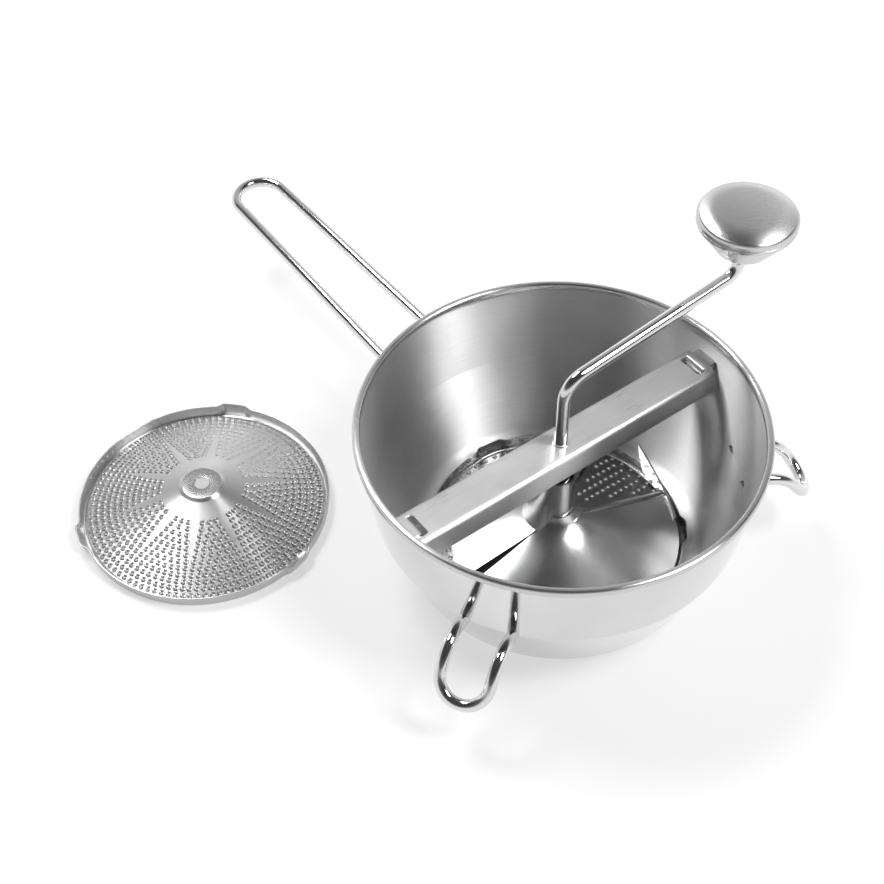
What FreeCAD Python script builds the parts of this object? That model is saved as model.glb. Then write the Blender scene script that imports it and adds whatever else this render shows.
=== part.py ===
import FreeCAD, Part
import Sketcher
import math
import os
import re

# A stainless food mill: a flared bowl with a wire handle and two wire rests, a crank
# that turns a blade over a domed sieve, a sprung crossbar that holds the crank under
# two catches, and a second sieve lying beside it. Lengths are in millimetres and
# angles in degrees. The origin is the centre of the bowl's flat base, +Z is up, and
# azimuths are counted from +X towards +Y.

doc = FreeCAD.newDocument("food_mill")
sheet = doc.addObject("Spreadsheet::Sheet", "Sizes")

SIZES = [
    # bowl
    ("rim_radius", 120.0),
    ("bowl_height", 107.0),
    ("bead_width", 4.4),
    ("bead_height", 4.8),
    ("bead_round", 1.9),
    ("band_inset", 1.05),
    ("shoulder_share", 0.695),
    ("shoulder_height", 51.0),
    ("shoulder_bend", 6.0),
    ("base_margin", 12.5),
    ("base_bend", 8.0),
    ("outlet_lip", 2.5),
    ("bowl_sheet", 1.1),
    # wire handle and rests
    ("wire_radius", 3.55),
    ("handle_azimuth", 126.5),
    ("handle_spread", 21.2),
    ("handle_end_bend", 17.5),
    ("handle_end_centre", 325.0),
    ("handle_root_height", 52.0),
    ("handle_rise", 11.0),
    ("rest_front_azimuth", 245.85),
    ("rest_right_azimuth", 5.85),
    ("rest_spread", 14.5),
    ("rest_root_height", 50.3),
    ("rest_lift_angle", 37.0),
    ("rest_drop_angle", 52.0),
    ("rest_bend", 23.0),
    ("rest_tail", 2.5),
    # crossbar and its catches
    ("bar_azimuth", 35.5),
    ("bar_end_gap", 5.2),
    ("bar_half_width", 12.75),
    ("bar_drop", 17.0),
    ("bar_depth", 17.0),
    ("bar_sheet", 1.5),
    ("bar_bend", 3.0),
    ("slot_land", 4.5),
    ("slot_length", 5.8),
    ("slot_width", 16.0),
    ("slot_corner", 1.6),
    ("catch_sheet", 1.5),
    ("catch_width", 14.5),
    ("catch_leg", 14.0),
    ("catch_play", 3.5),
    ("catch_hook_depth", 4.5),
    ("catch_bend", 1.9),
    # crank
    ("rod_radius", 3.9),
    ("rod_foot", 14.0),
    ("crank_azimuth", 35.7),
    ("crank_reach", 129.8),
    ("arm_root_height", 136.8),
    ("arm_end_height", 150.9),
    ("arm_root_bend", 14.0),
    ("arm_end_bend", 12.0),
    # crossbar bush, washers and spring
    ("running_clearance", 0.06),
    ("seat_clearance", 0.05),
    ("bush_wall", 0.7),
    ("bush_flange", 0.4),
    ("bush_flange_thickness", 0.8),
    ("bush_flange_round", 0.3),
    ("washer_radius", 8.4),
    ("washer_thickness", 1.2),
    ("spring_radius", 6.3),
    ("spring_wire", 0.8),
    ("spring_turns", 8.0),
    # blade
    ("hub_height", 7.5),
    ("hub_radius", 8.8),
    ("sleeve_radius", 10.0),
    ("sleeve_top", 62.0),
    ("blade_sheet", 1.2),
    ("blade_lift", 0.5),
    ("blade_core", 13.0),
    ("plate_gap", 1.8),
    ("plate_edge_height", 5.3),
    ("plate_start", 205.0),
    ("plate_end", 350.0),
    ("roll_radius", 2.4),
    ("roll_azimuth", 28.0),
    ("roll_offset", 8.5),
    ("roll_inner_end", 18.5),
    ("roll_gap", 4.0),
    ("roll_inner_height", 23.4),
    ("roll_outer_height", 7.9),
    ("wing_start", 65.0),
    ("wing_end", 215.5),
    ("wing_inner_end", 240.0),
    ("wing_tip_radius", 68.5),
    ("wing_low_radius", 58.0),
    ("wing_tip_height", 14.0),
    ("wing_low_height", 10.0),
    ("fin_gap", 2.1),
    ("fin_lean", 0.10),
    ("fin_start", 5.0),
    ("fin_end", 43.5),
    ("fin_low_height", 9.5),
    ("fin_tip_height", 26.0),
    # sieves
    ("disc_base_radius", 78.0),
    ("rim_flare", 1.3),
    ("disc_rim_height", 8.3),
    ("disc_sheet", 0.8),
    ("foot_step", 1.7),
    ("cone_step", 3.0),
    ("cone_foot_height", 2.4),
    ("cone_inner_radius", 14.5),
    ("cone_height", 20.8),
    ("boss_radius", 12.5),
    ("boss_height", 22.3),
    ("disc_hole_radius", 4.5),
    ("ear_reach", 4.2),
    ("ear_half_angle", 8.0),
    ("ear_thickness", 6.8),
    ("ear_tip_half_angle", 5.6),
    ("ear_bend", 3.0),
    ("sieve_ear_azimuth", 118.0),
    ("spare_ear_azimuth", 81.0),
    ("spare_x", -219.6),
    ("spare_y", 31.6),
    ("sieve_hole_radius", 1.25),
    ("spare_hole_radius", 0.8),
    ("hole_ring_step", 8.5),
    ("hole_first_ring", 30.0),
    # knob
    ("knob_radius", 28.9),
    ("knob_seam_height", 190.0),
    ("knob_neck_radius", 15.5),
    ("knob_neck_depth", 20.5),
    ("knob_neck_bend", 2.0),
    ("knob_flank_depth", 1.8),
    ("knob_flank_bend", 4.0),
    ("knob_wall", 2.0),
    ("knob_column_radius", 8.8),
    ("knob_bush_wall", 1.5),
    ("knob_bush_top_depth", 6.0),
    ("knob_bush_flange", 1.6),
    ("knob_bush_flange_thickness", 1.0),
    ("cap_height", 9.4),
    ("cap_shoulder_radius", 21.0),
    ("cap_shoulder_height", 7.4),
    ("cap_edge_height", 4.2),
    ("cap_edge_bend", 3.0),
    ("cap_crown_bend", 30.0),
    ("retainer_thickness", 1.5),
    ("retainer_radius", 6.4),
]

# Sizes that follow from the ones above, so that what belongs together stays together.
DERIVED = [
    ("disc_rim_radius", "disc_base_radius + rim_flare"),
    ("disc_foot_radius", "disc_base_radius - foot_step"),
    ("cone_outer_radius", "disc_base_radius - cone_step"),
    ("ear_radius", "disc_base_radius + ear_reach"),
    ("outlet_radius", "disc_base_radius - outlet_lip"),
    ("base_radius", "disc_base_radius + base_margin"),
    ("shoulder_radius", "base_radius + (rim_radius - base_radius) * shoulder_share"),
    ("band_top_radius", "rim_radius - band_inset"),
    ("band_top_height", "bowl_height - bead_height / 2"),
    ("band_slope", "(band_top_radius - shoulder_radius) / (band_top_height - shoulder_height)"),
    ("bar_top", "bowl_height - bar_drop"),
    ("bar_wall_radius", "shoulder_radius - bowl_sheet + (bar_top - shoulder_height) * band_slope"),
    ("bar_half_length", "bar_wall_radius - bar_end_gap"),
    ("slot_inner_end", "bar_half_length - slot_land - slot_length"),
    ("catch_tip", "slot_inner_end + catch_play"),
    ("catch_foot_height", "bar_top - catch_leg"),
    ("plate_radius", "disc_base_radius - plate_gap"),
    ("fin_radius", "disc_base_radius - fin_gap"),
    ("roll_outer_end", "disc_base_radius - roll_gap"),
]

EAR_COUNT = 3
HOLES_PER_RING = 30
HOLE_RINGS = 5
SECTION_STEP = 12.0
RIDGE_STEPS = 3
FIN_RISE = 2.5
FIN_POINT = 0.7
UP = FreeCAD.Vector(0, 0, 1)
ORIGIN = FreeCAD.Vector(0, 0, 0)

rows = [(alias, str(length)) for alias, length in SIZES]
rows += [(alias, "=" + text) for alias, text in DERIVED]
for row, (alias, entry) in enumerate(rows, start=1):
    sheet.set("A%d" % row, alias)
    sheet.set("B%d" % row, entry)
    sheet.setAlias("B%d" % row, alias)
doc.recompute()


# ---------------------------------------------------------------- helpers


def formula(text):
    """Turn the words of a formula into cells of the sheet."""
    return re.sub(r"\b([a-z][a-z_]+)\b(?!\()", r"Sizes.\1", text)


def size(text):
    """The number that a formula of the sheet's words gives now."""
    return float(sheet.evalExpression(re.sub(r"Sizes\.", "", formula(text))))


def origin_plane(body, role):
    """One of the body's own origin planes."""
    for feature in body.Origin.OriginFeatures:
        if feature.Role == role:
            return feature
    raise ValueError("no plane " + role)


def new_body(label, turn="0", x="0", y="0", z="0"):
    """An empty body turned about Z and then placed, both by formulas of the sheet."""
    body = doc.addObject("PartDesign::Body", label)
    body.Label = label
    body.Placement = FreeCAD.Placement(ORIGIN, FreeCAD.Rotation(UP, size(turn)))
    body.setExpression("Placement.Rotation.Angle", formula(turn))
    body.setExpression("Placement.Base.x", formula(x))
    body.setExpression("Placement.Base.y", formula(y))
    body.setExpression("Placement.Base.z", formula(z))
    return body


def new_sketch(body, name, role="XZ_Plane"):
    """A sketch on one of the body's origin planes."""
    sketch = body.newObject("Sketcher::SketchObject", name)
    sketch.AttachmentSupport = [(origin_plane(body, role), "")]
    sketch.MapMode = "FlatFace"
    return sketch


def bind(sketch, constraint, text):
    """Add a dimension to a sketch and tie it to a formula of the sheet."""
    index = sketch.addConstraint(constraint)
    sketch.setExpression("Constraints[%d]" % index, formula(text))


def flat(point):
    return FreeCAD.Vector(point[0], point[1], 0)


def outline(sketch, corners, closed=True):
    """Straight runs between corners, each corner (x, y) or (x, y, bend radius).

    The corners are held by formulas, the runs pass through them, and a corner with
    a bend radius is rounded by an arc tangent to both runs.
    """
    count = len(corners)
    spots = [flat((size(c[0]), size(c[1]))) for c in corners]
    bends = [size(c[2]) if len(c) > 2 else 0.0 for c in corners]
    entry = list(spots)
    leave = list(spots)
    for i, bend in enumerate(bends):
        if bend:
            before = (spots[i - 1] - spots[i]).normalize()
            after = (spots[(i + 1) % count] - spots[i]).normalize()
            tangent = bend / math.tan(before.getAngle(after) / 2)
            entry[i] = spots[i] + before * tangent
            leave[i] = spots[i] + after * tangent
    runs = []
    for i in range(count if closed else count - 1):
        line = Part.LineSegment(leave[i], entry[(i + 1) % count])
        runs.append(sketch.addGeometry(line, False))
    for i, corner in enumerate(corners):
        incoming = runs[i - 1] if closed or i else None
        outgoing = runs[i] if i < len(runs) else None
        if not bends[i]:
            run, end = (outgoing, 1) if outgoing is not None else (incoming, 2)
            bind(sketch, Sketcher.Constraint("DistanceX", -1, 1, run, end, spots[i].x), corner[0])
            bind(sketch, Sketcher.Constraint("DistanceY", -1, 1, run, end, spots[i].y), corner[1])
            if incoming is not None and outgoing is not None:
                sketch.addConstraint(Sketcher.Constraint("Coincident", incoming, 2, outgoing, 1))
            continue
        point = sketch.addGeometry(Part.Point(spots[i]), True)
        bind(sketch, Sketcher.Constraint("DistanceX", -1, 1, point, 1, spots[i].x), corner[0])
        bind(sketch, Sketcher.Constraint("DistanceY", -1, 1, point, 1, spots[i].y), corner[1])
        sketch.addConstraint(Sketcher.Constraint("PointOnObject", point, 1, incoming))
        sketch.addConstraint(Sketcher.Constraint("PointOnObject", point, 1, outgoing))
        before = (entry[i] - spots[i]).normalize()
        after = (leave[i] - spots[i]).normalize()
        half = before.getAngle(after) / 2
        centre = spots[i] + (before + after).normalize() * (bends[i] / math.sin(half))
        turns_left = (before * -1).cross(after).z > 0
        first, last = (entry[i], leave[i]) if turns_left else (leave[i], entry[i])
        start = math.atan2(first.y - centre.y, first.x - centre.x)
        stop = math.atan2(last.y - centre.y, last.x - centre.x)
        circle = Part.Circle(centre, UP, bends[i])
        arc = sketch.addGeometry(Part.ArcOfCircle(circle, start, stop), False)
        first_end, last_end = (1, 2) if turns_left else (2, 1)
        sketch.addConstraint(Sketcher.Constraint("Tangent", incoming, 2, arc, first_end))
        sketch.addConstraint(Sketcher.Constraint("Tangent", arc, last_end, outgoing, 1))
        bind(sketch, Sketcher.Constraint("Radius", arc, bends[i]), corner[2])


def circle(sketch, x, y, radius):
    """A full circle in a sketch, its centre and radius held by formulas."""
    centre = flat((size(x), size(y)))
    ring = sketch.addGeometry(Part.Circle(centre, UP, size(radius)), False)
    bind(sketch, Sketcher.Constraint("DistanceX", -1, 1, ring, 3, centre.x), x)
    bind(sketch, Sketcher.Constraint("DistanceY", -1, 1, ring, 3, centre.y), y)
    bind(sketch, Sketcher.Constraint("Radius", ring, size(radius)), radius)


def revolve(body, sketch):
    """Turn a sketch a full circle about the body's Z axis."""
    revolution = body.newObject("PartDesign::Revolution", sketch.Name + "_turned")
    revolution.Profile = sketch
    revolution.ReferenceAxis = (sketch, ["V_Axis"])
    revolution.Angle = 360.0
    sketch.Visibility = False
    return revolution


def pad(body, sketch, depth, symmetric=False):
    """Thicken a sketch by a formula, to one side or equally to both."""
    thick = body.newObject("PartDesign::Pad", sketch.Name + "_thick")
    thick.Profile = sketch
    thick.SideType = "Symmetric" if symmetric else "One side"
    thick.setExpression("Length", formula(depth))
    return thick


def turned_body(label, corners, **place):
    """A body turned on a lathe from one closed outline (radius, height)."""
    body = new_body(label, **place)
    sketch = new_sketch(body, label + "_outline")
    outline(sketch, corners)
    revolve(body, sketch)
    return body


def ring_body(label, inner, outer, low, high, **place):
    """A plain ring or tube between two radii and two heights."""
    return turned_body(label, [(inner, low), (outer, low), (outer, high), (inner, high)], **place)


def polar(radius, azimuth, height):
    """A point at a radius and an azimuth in degrees."""
    turn = math.radians(azimuth)
    return FreeCAD.Vector(radius * math.cos(turn), radius * math.sin(turn), height)


def shape_feature(label, shape):
    """A document object that holds a shape made by Part's own functions."""
    feature = doc.addObject("Part::Feature", label)
    feature.Label = label
    feature.Shape = shape
    return feature


# ---------------------------------------------------------------- bowl

# The outside of the bowl runs from the flat base up a cone to the shoulder and on
# up a steeper band to the rolled bead. Inside it is the same line, one sheet in.


def wall_inside(height):
    """The formula of the band's inner radius at a height above the shoulder."""
    return "(shoulder_radius - bowl_sheet + (" + height + " - shoulder_height) * band_slope)"


def make_bowl():
    body = new_body("bowl")
    wall = new_sketch(body, "bowl_wall")
    outline(wall, [
        ("outlet_radius", "0"),
        ("base_radius", "0", "base_bend"),
        ("shoulder_radius", "shoulder_height", "shoulder_bend"),
        ("band_top_radius", "band_top_height"),
        ("band_top_radius - bowl_sheet", "band_top_height"),
        ("shoulder_radius - bowl_sheet", "shoulder_height", "shoulder_bend - bowl_sheet"),
        ("base_radius - bowl_sheet", "bowl_sheet", "base_bend - bowl_sheet"),
        ("outlet_radius", "bowl_sheet"),
    ])
    revolve(body, wall)
    bead = new_sketch(body, "bowl_bead")
    outline(bead, [
        ("rim_radius - bead_width", "bowl_height - bead_height", "bead_round"),
        ("rim_radius", "bowl_height - bead_height", "bead_round"),
        ("rim_radius", "bowl_height", "bead_round"),
        ("rim_radius - bead_width", "bowl_height", "bead_round"),
    ])
    revolve(body, bead)
    return body


def make_bowl_form(label, shift):
    """The solid that fills the bowl's outline, its wall moved out by a formula."""
    return turned_body(label, [
        ("0", "0"),
        ("base_radius + " + shift, "0"),
        ("shoulder_radius + " + shift, "shoulder_height", "shoulder_bend + " + shift),
        ("band_top_radius + " + shift, "band_top_height"),
        ("0", "band_top_height"),
    ])


# ---------------------------------------------------------------- wire handle and rests


def round_wire(edges):
    """A solid round wire along joined edges that are tangent to each other."""
    path = Part.Wire(edges)
    start = edges[0]
    direction = start.tangentAt(start.FirstParameter)
    circle_edge = Part.makeCircle(size("wire_radius"), start.valueAt(start.FirstParameter), direction)
    return path.makePipeShell([Part.Wire([circle_edge])], True, False)


def handle_edges():
    """Two legs that draw together and the half round that joins them, along +X."""
    spread = size("handle_spread")
    end_bend = size("handle_end_bend")
    root = size("shoulder_radius - wire_radius")
    end = size("handle_end_centre")
    slope = size("handle_rise") / (size("handle_end_centre + handle_end_bend") - root)
    lean = math.asin((spread - end_bend) / (end - root))

    def spot(x, y):
        return FreeCAD.Vector(x, y, size("handle_root_height") + slope * (x - root))

    touch_x = end + end_bend * math.sin(lean)
    touch_y = end_bend * math.cos(lean)
    bow = Part.Arc(spot(touch_x, touch_y), spot(end + end_bend, 0), spot(touch_x, -touch_y))
    bow_edge = bow.toShape()
    left = Part.LineSegment(spot(root, spread), bow_edge.valueAt(bow_edge.FirstParameter)).toShape()
    right = Part.LineSegment(bow_edge.valueAt(bow_edge.LastParameter), spot(root, -spread)).toShape()
    return [left, bow_edge, right]


def rest_edges():
    """One loop that lifts off the wall, arches over and hangs down, along +X."""
    spread = size("rest_spread")
    bend = size("rest_bend")
    tail = size("rest_tail")
    lift = math.radians(size("rest_lift_angle"))
    drop = math.radians(size("rest_drop_angle"))
    root_x = size("shoulder_radius - bowl_sheet")
    root_z = size("rest_root_height")
    lead = size("wire_radius")

    def leg(y):
        start = FreeCAD.Vector(root_x - lead * math.cos(lift), y, root_z - lead * math.sin(lift))
        first = FreeCAD.Vector(root_x, y, root_z)
        hub = first + FreeCAD.Vector(bend * math.sin(lift), 0, -bend * math.cos(lift))
        top = hub + FreeCAD.Vector(0, 0, bend)
        last = hub + FreeCAD.Vector(bend * math.sin(drop), 0, bend * math.cos(drop))
        down = FreeCAD.Vector(math.cos(drop), 0, -math.sin(drop))
        return start, first, top, last, last + down * tail, down

    start, first, top, last, end, down = leg(spread)
    start_r, first_r, top_r, last_r, end_r, _ = leg(-spread)
    middle = (end + end_r) * 0.5 + down * spread
    return [
        Part.LineSegment(start, first).toShape(),
        Part.Arc(first, top, last).toShape(),
        Part.LineSegment(last, end).toShape(),
        Part.Arc(end, middle, end_r).toShape(),
        Part.LineSegment(end_r, last_r).toShape(),
        Part.Arc(last_r, top_r, first_r).toShape(),
        Part.LineSegment(first_r, start_r).toShape(),
    ]


def make_wire_loop(label, edges, azimuth, bowl_form):
    """A wire loop turned to its azimuth and cut off where it meets the wall."""
    blank = shape_feature(label + "_blank", round_wire(edges))
    blank.Placement = FreeCAD.Placement(ORIGIN, FreeCAD.Rotation(UP, size(azimuth)))
    loop = doc.addObject("Part::Cut", label)
    loop.Base = blank
    loop.Tool = bowl_form
    loop.Label = label
    return loop


# ---------------------------------------------------------------- crossbar and catches


def make_crossbar():
    """An inverted channel with a hook slot near each end and a hole for the bush."""
    body = new_body("crossbar", turn="bar_azimuth")
    section = new_sketch(body, "bar_section", "YZ_Plane")
    low = "bar_top - bar_depth"
    inside = "(bar_half_width - bar_sheet)"
    outline(section, [
        ("-bar_half_width", low),
        ("-" + inside, low),
        ("-" + inside, "bar_top - bar_sheet", "bar_bend - bar_sheet"),
        (inside, "bar_top - bar_sheet", "bar_bend - bar_sheet"),
        (inside, low),
        ("bar_half_width", low),
        ("bar_half_width", "bar_top", "bar_bend"),
        ("-bar_half_width", "bar_top", "bar_bend"),
    ])
    pad(body, section, "2 * bar_half_length", symmetric=True)
    openings = new_sketch(body, "bar_openings", "XY_Plane")
    circle(openings, "0", "0", "rod_radius + running_clearance + bush_wall + seat_clearance")
    far = "(slot_inner_end + slot_length)"
    for side in ("", "-"):
        near_x = side + "slot_inner_end"
        far_x = side + far
        outline(openings, [
            (near_x, "-slot_width / 2", "slot_corner"),
            (far_x, "-slot_width / 2", "slot_corner"),
            (far_x, "slot_width / 2", "slot_corner"),
            (near_x, "slot_width / 2", "slot_corner"),
        ])
    cut = body.newObject("PartDesign::Pocket", "bar_openings_cut")
    cut.Profile = openings
    cut.SideType = "One side"
    cut.Type = "Length"
    cut.setExpression("Length", formula("bar_top + bar_sheet"))
    cut.Reversed = True
    return body


def make_catch(label, azimuth, bowl_cavity):
    """A strip up the wall, level over the bar's end and hooked down into its slot."""
    body = new_body(label + "_blank", turn=azimuth)
    section = new_sketch(body, label + "_section")
    over = "(bar_top + catch_sheet)"
    hook = over + " - catch_hook_depth"
    inner_bend = "catch_bend - catch_sheet"
    outline(section, [
        ("catch_tip", hook),
        ("catch_tip + catch_sheet", hook),
        ("catch_tip + catch_sheet", "bar_top", inner_bend),
        (wall_inside("bar_top") + " - catch_sheet", "bar_top", inner_bend),
        (wall_inside("catch_foot_height") + " - catch_sheet", "catch_foot_height"),
        (wall_inside("catch_foot_height") + " + bowl_sheet", "catch_foot_height"),
        (wall_inside(over) + " + bowl_sheet", over),
        ("catch_tip", over, "catch_bend"),
    ])
    pad(body, section, "catch_width", symmetric=True)
    catch = doc.addObject("Part::Common", label)
    catch.Base = body
    catch.Tool = bowl_cavity
    catch.Label = label
    return catch


# ---------------------------------------------------------------- crank, bush, washers, spring


def make_crank_rod():
    """A round rod: up the axis, out along the arm, and up again into the knob."""
    body = new_body("crank_rod", turn="crank_azimuth")
    path = new_sketch(body, "crank_path")
    outline(path, [
        ("0", "rod_foot"),
        ("0", "arm_root_height", "arm_root_bend"),
        ("crank_reach", "arm_end_height", "arm_end_bend"),
        ("crank_reach", "knob_seam_height - knob_bush_top_depth + retainer_thickness"
                        " + knob_bush_flange_thickness + seat_clearance"),
    ], closed=False)
    profile = new_sketch(body, "crank_section", "XY_Plane")
    profile.setExpression("AttachmentOffset.Base.z", formula("rod_foot"))
    circle(profile, "0", "0", "rod_radius")
    rod = body.newObject("PartDesign::AdditivePipe", "crank_bent")
    rod.Profile = profile
    rod.Spine = path
    return body


BUSH_BORE = "rod_radius + running_clearance"
BUSH_OUTSIDE = BUSH_BORE + " + bush_wall"
BAR_UNDERSIDE = "bar_top - bar_sheet"
UPPER_WASHER_FOOT = BAR_UNDERSIDE + " - washer_thickness"
SIEVE_SEAT = "bowl_sheet"
HUB_FOOT = SIEVE_SEAT + " + boss_height"
HUB_TOP = HUB_FOOT + " + hub_height"
LOWER_WASHER_TOP = HUB_TOP + " + washer_thickness"


def make_shaft_bush():
    """A collared bush that fills the bar's hole and carries the rod."""
    return turned_body("shaft_bush", [
        (BUSH_BORE, UPPER_WASHER_FOOT),
        (BUSH_OUTSIDE, UPPER_WASHER_FOOT),
        (BUSH_OUTSIDE, "bar_top"),
        (BUSH_OUTSIDE + " + bush_flange", "bar_top"),
        (BUSH_OUTSIDE + " + bush_flange", "bar_top + bush_flange_thickness", "bush_flange_round"),
        (BUSH_BORE, "bar_top + bush_flange_thickness"),
    ])


def make_pressure_spring():
    """The spring that pushes the bar up and the blade down."""
    body = new_body("pressure_spring", z=LOWER_WASHER_TOP + " + spring_wire + seat_clearance")
    section = new_sketch(body, "spring_section")
    circle(section, "spring_radius", "0", "spring_wire")
    coil = body.newObject("PartDesign::AdditiveHelix", "spring_coil")
    coil.Profile = section
    coil.ReferenceAxis = (section, ["V_Axis"])
    coil.Mode = "height-turns-angle"
    room = UPPER_WASHER_FOOT + " - (" + LOWER_WASHER_TOP + ") - 2 * (spring_wire + seat_clearance)"
    coil.setExpression("Height", formula(room))
    coil.setExpression("Turns", formula("spring_turns"))
    return body


# ---------------------------------------------------------------- blade


def thin_section(inner, outer, thickness):
    """A closed strip from an inner to an outer point, thickened straight up."""
    lift = FreeCAD.Vector(0, 0, thickness)
    return Part.makePolygon([inner, outer, outer + lift, inner + lift, inner])


def blend(low, high, share):
    return low + (high - low) * share


def azimuths(start, stop):
    """Evenly spaced azimuths from start to stop, about one section step apart."""
    count = max(2, int(round(abs(stop - start) / SECTION_STEP)) + 1)
    return [blend(start, stop, i / (count - 1)) for i in range(count)]


def loft(sections):
    return Part.makeLoft(sections, True, True)


def blade_plate():
    """The broad plate that sweeps the sieve, its leading edge rolled over."""
    sheet_thickness = size("blade_sheet")
    core = size("blade_core - blade_sheet / 2")
    foot = size(HUB_FOOT + " + blade_lift")
    sections = []
    for azimuth in azimuths(size("plate_start"), size("plate_end")):
        inner = polar(core, azimuth, foot)
        outer = polar(size("plate_radius"), azimuth, size("plate_edge_height"))
        sections.append(thin_section(inner, outer, sheet_thickness))
    roll_inner, roll_outer = [end - UP * sheet_thickness for end in roll_ends()]
    roll_turn = math.degrees(math.atan2(roll_outer.y, roll_outer.x))
    turn = size("plate_end") + (roll_turn - size("plate_end")) % 360
    for step in range(1, RIDGE_STEPS + 1):
        share = step / RIDGE_STEPS
        radius = blend(size("plate_radius"), math.hypot(roll_outer.x, roll_outer.y), share)
        height = blend(size("plate_edge_height"), roll_outer.z, share)
        start = polar(core, size("plate_end"), foot)
        outer = polar(radius, blend(size("plate_end"), turn, share), height)
        sections.append(thin_section(blend(start, roll_inner, share), outer, sheet_thickness))
    return loft(sections)


def roll_ends():
    """The two ends of the rolled edge's centre line."""
    along = polar(1, size("roll_azimuth"), 0)
    aside = polar(size("roll_offset"), size("roll_azimuth") - 90, 0)
    inner = along * size("roll_inner_end") + aside + UP * size("roll_inner_height")
    outer = along * size("roll_outer_end") + aside + UP * size("roll_outer_height")
    return inner, outer


def blade_roll():
    """The rolled edge, standing out a little past the plate at both its ends."""
    inner, outer = roll_ends()
    past = (outer - inner).normalize() * size("blade_sheet")
    length = (outer - inner + past * 2).Length
    return Part.makeCylinder(size("roll_radius"), length, inner - past, past)


def blade_wing():
    """The opposite wing, its straight trailing edge standing above the plate."""
    start = size("wing_start")
    end = size("wing_end")
    foot = size(HUB_FOOT + " + blade_lift + blade_sheet / 2")
    sections = []
    for azimuth in azimuths(start, end):
        share = (azimuth - start) / (end - start)
        radius = blend(size("wing_low_radius"), size("wing_tip_radius"), share ** 2)
        height = blend(size("wing_low_height"), size("wing_tip_height"), share)
        inner = polar(size("blade_core"), blend(start, size("wing_inner_end"), share), foot)
        sections.append(thin_section(inner, polar(radius, azimuth, height), size("blade_sheet")))
    return loft(sections)


def blade_fin():
    """A pointed strip that stands up from the plate's outer edge."""
    start = size("fin_start")
    end = size("fin_end")
    low = size("plate_edge_height")
    thickness = size("blade_sheet")
    sections = []
    for azimuth in azimuths(start, end):
        share = (azimuth - start) / (end - start)
        top = blend(size("fin_low_height"), size("fin_tip_height"), share ** FIN_RISE)
        bottom = blend(low, top - thickness, max(0.0, (share - FIN_POINT) / (1 - FIN_POINT)) ** 2)
        corners = []
        for height, inward in ((bottom, 0), (top, 0), (top, thickness), (bottom, thickness)):
            radius = size("fin_radius") + size("fin_lean") * (height - low) - inward
            corners.append(polar(radius, azimuth, height))
        sections.append(Part.makePolygon(corners + corners[:1]))
    return loft(sections)


def make_blade():
    foot = size(HUB_FOOT + " + blade_lift")
    core = Part.makeCylinder(size("blade_core + blade_sheet"), size("blade_sheet"), UP * foot)
    bore = Part.makeCylinder(size("hub_radius + seat_clearance"), 3 * size("blade_sheet"),
                             UP * (foot - size("blade_sheet")))
    solid = blade_plate().fuse([blade_roll(), blade_wing(), blade_fin(), core]).cut(bore)
    return shape_feature("blade", solid.removeSplitter())


def make_blade_hub():
    """The collar fixed on the rod that the blade is riveted to."""
    shoulder = HUB_FOOT + " + blade_lift"
    return turned_body("blade_hub", [
        ("rod_radius + seat_clearance", HUB_FOOT),
        ("blade_core - blade_sheet", HUB_FOOT),
        ("blade_core - blade_sheet", shoulder),
        ("hub_radius", shoulder),
        ("hub_radius", HUB_TOP),
        ("rod_radius + seat_clearance", HUB_TOP),
    ])


# ---------------------------------------------------------------- sieves


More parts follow.
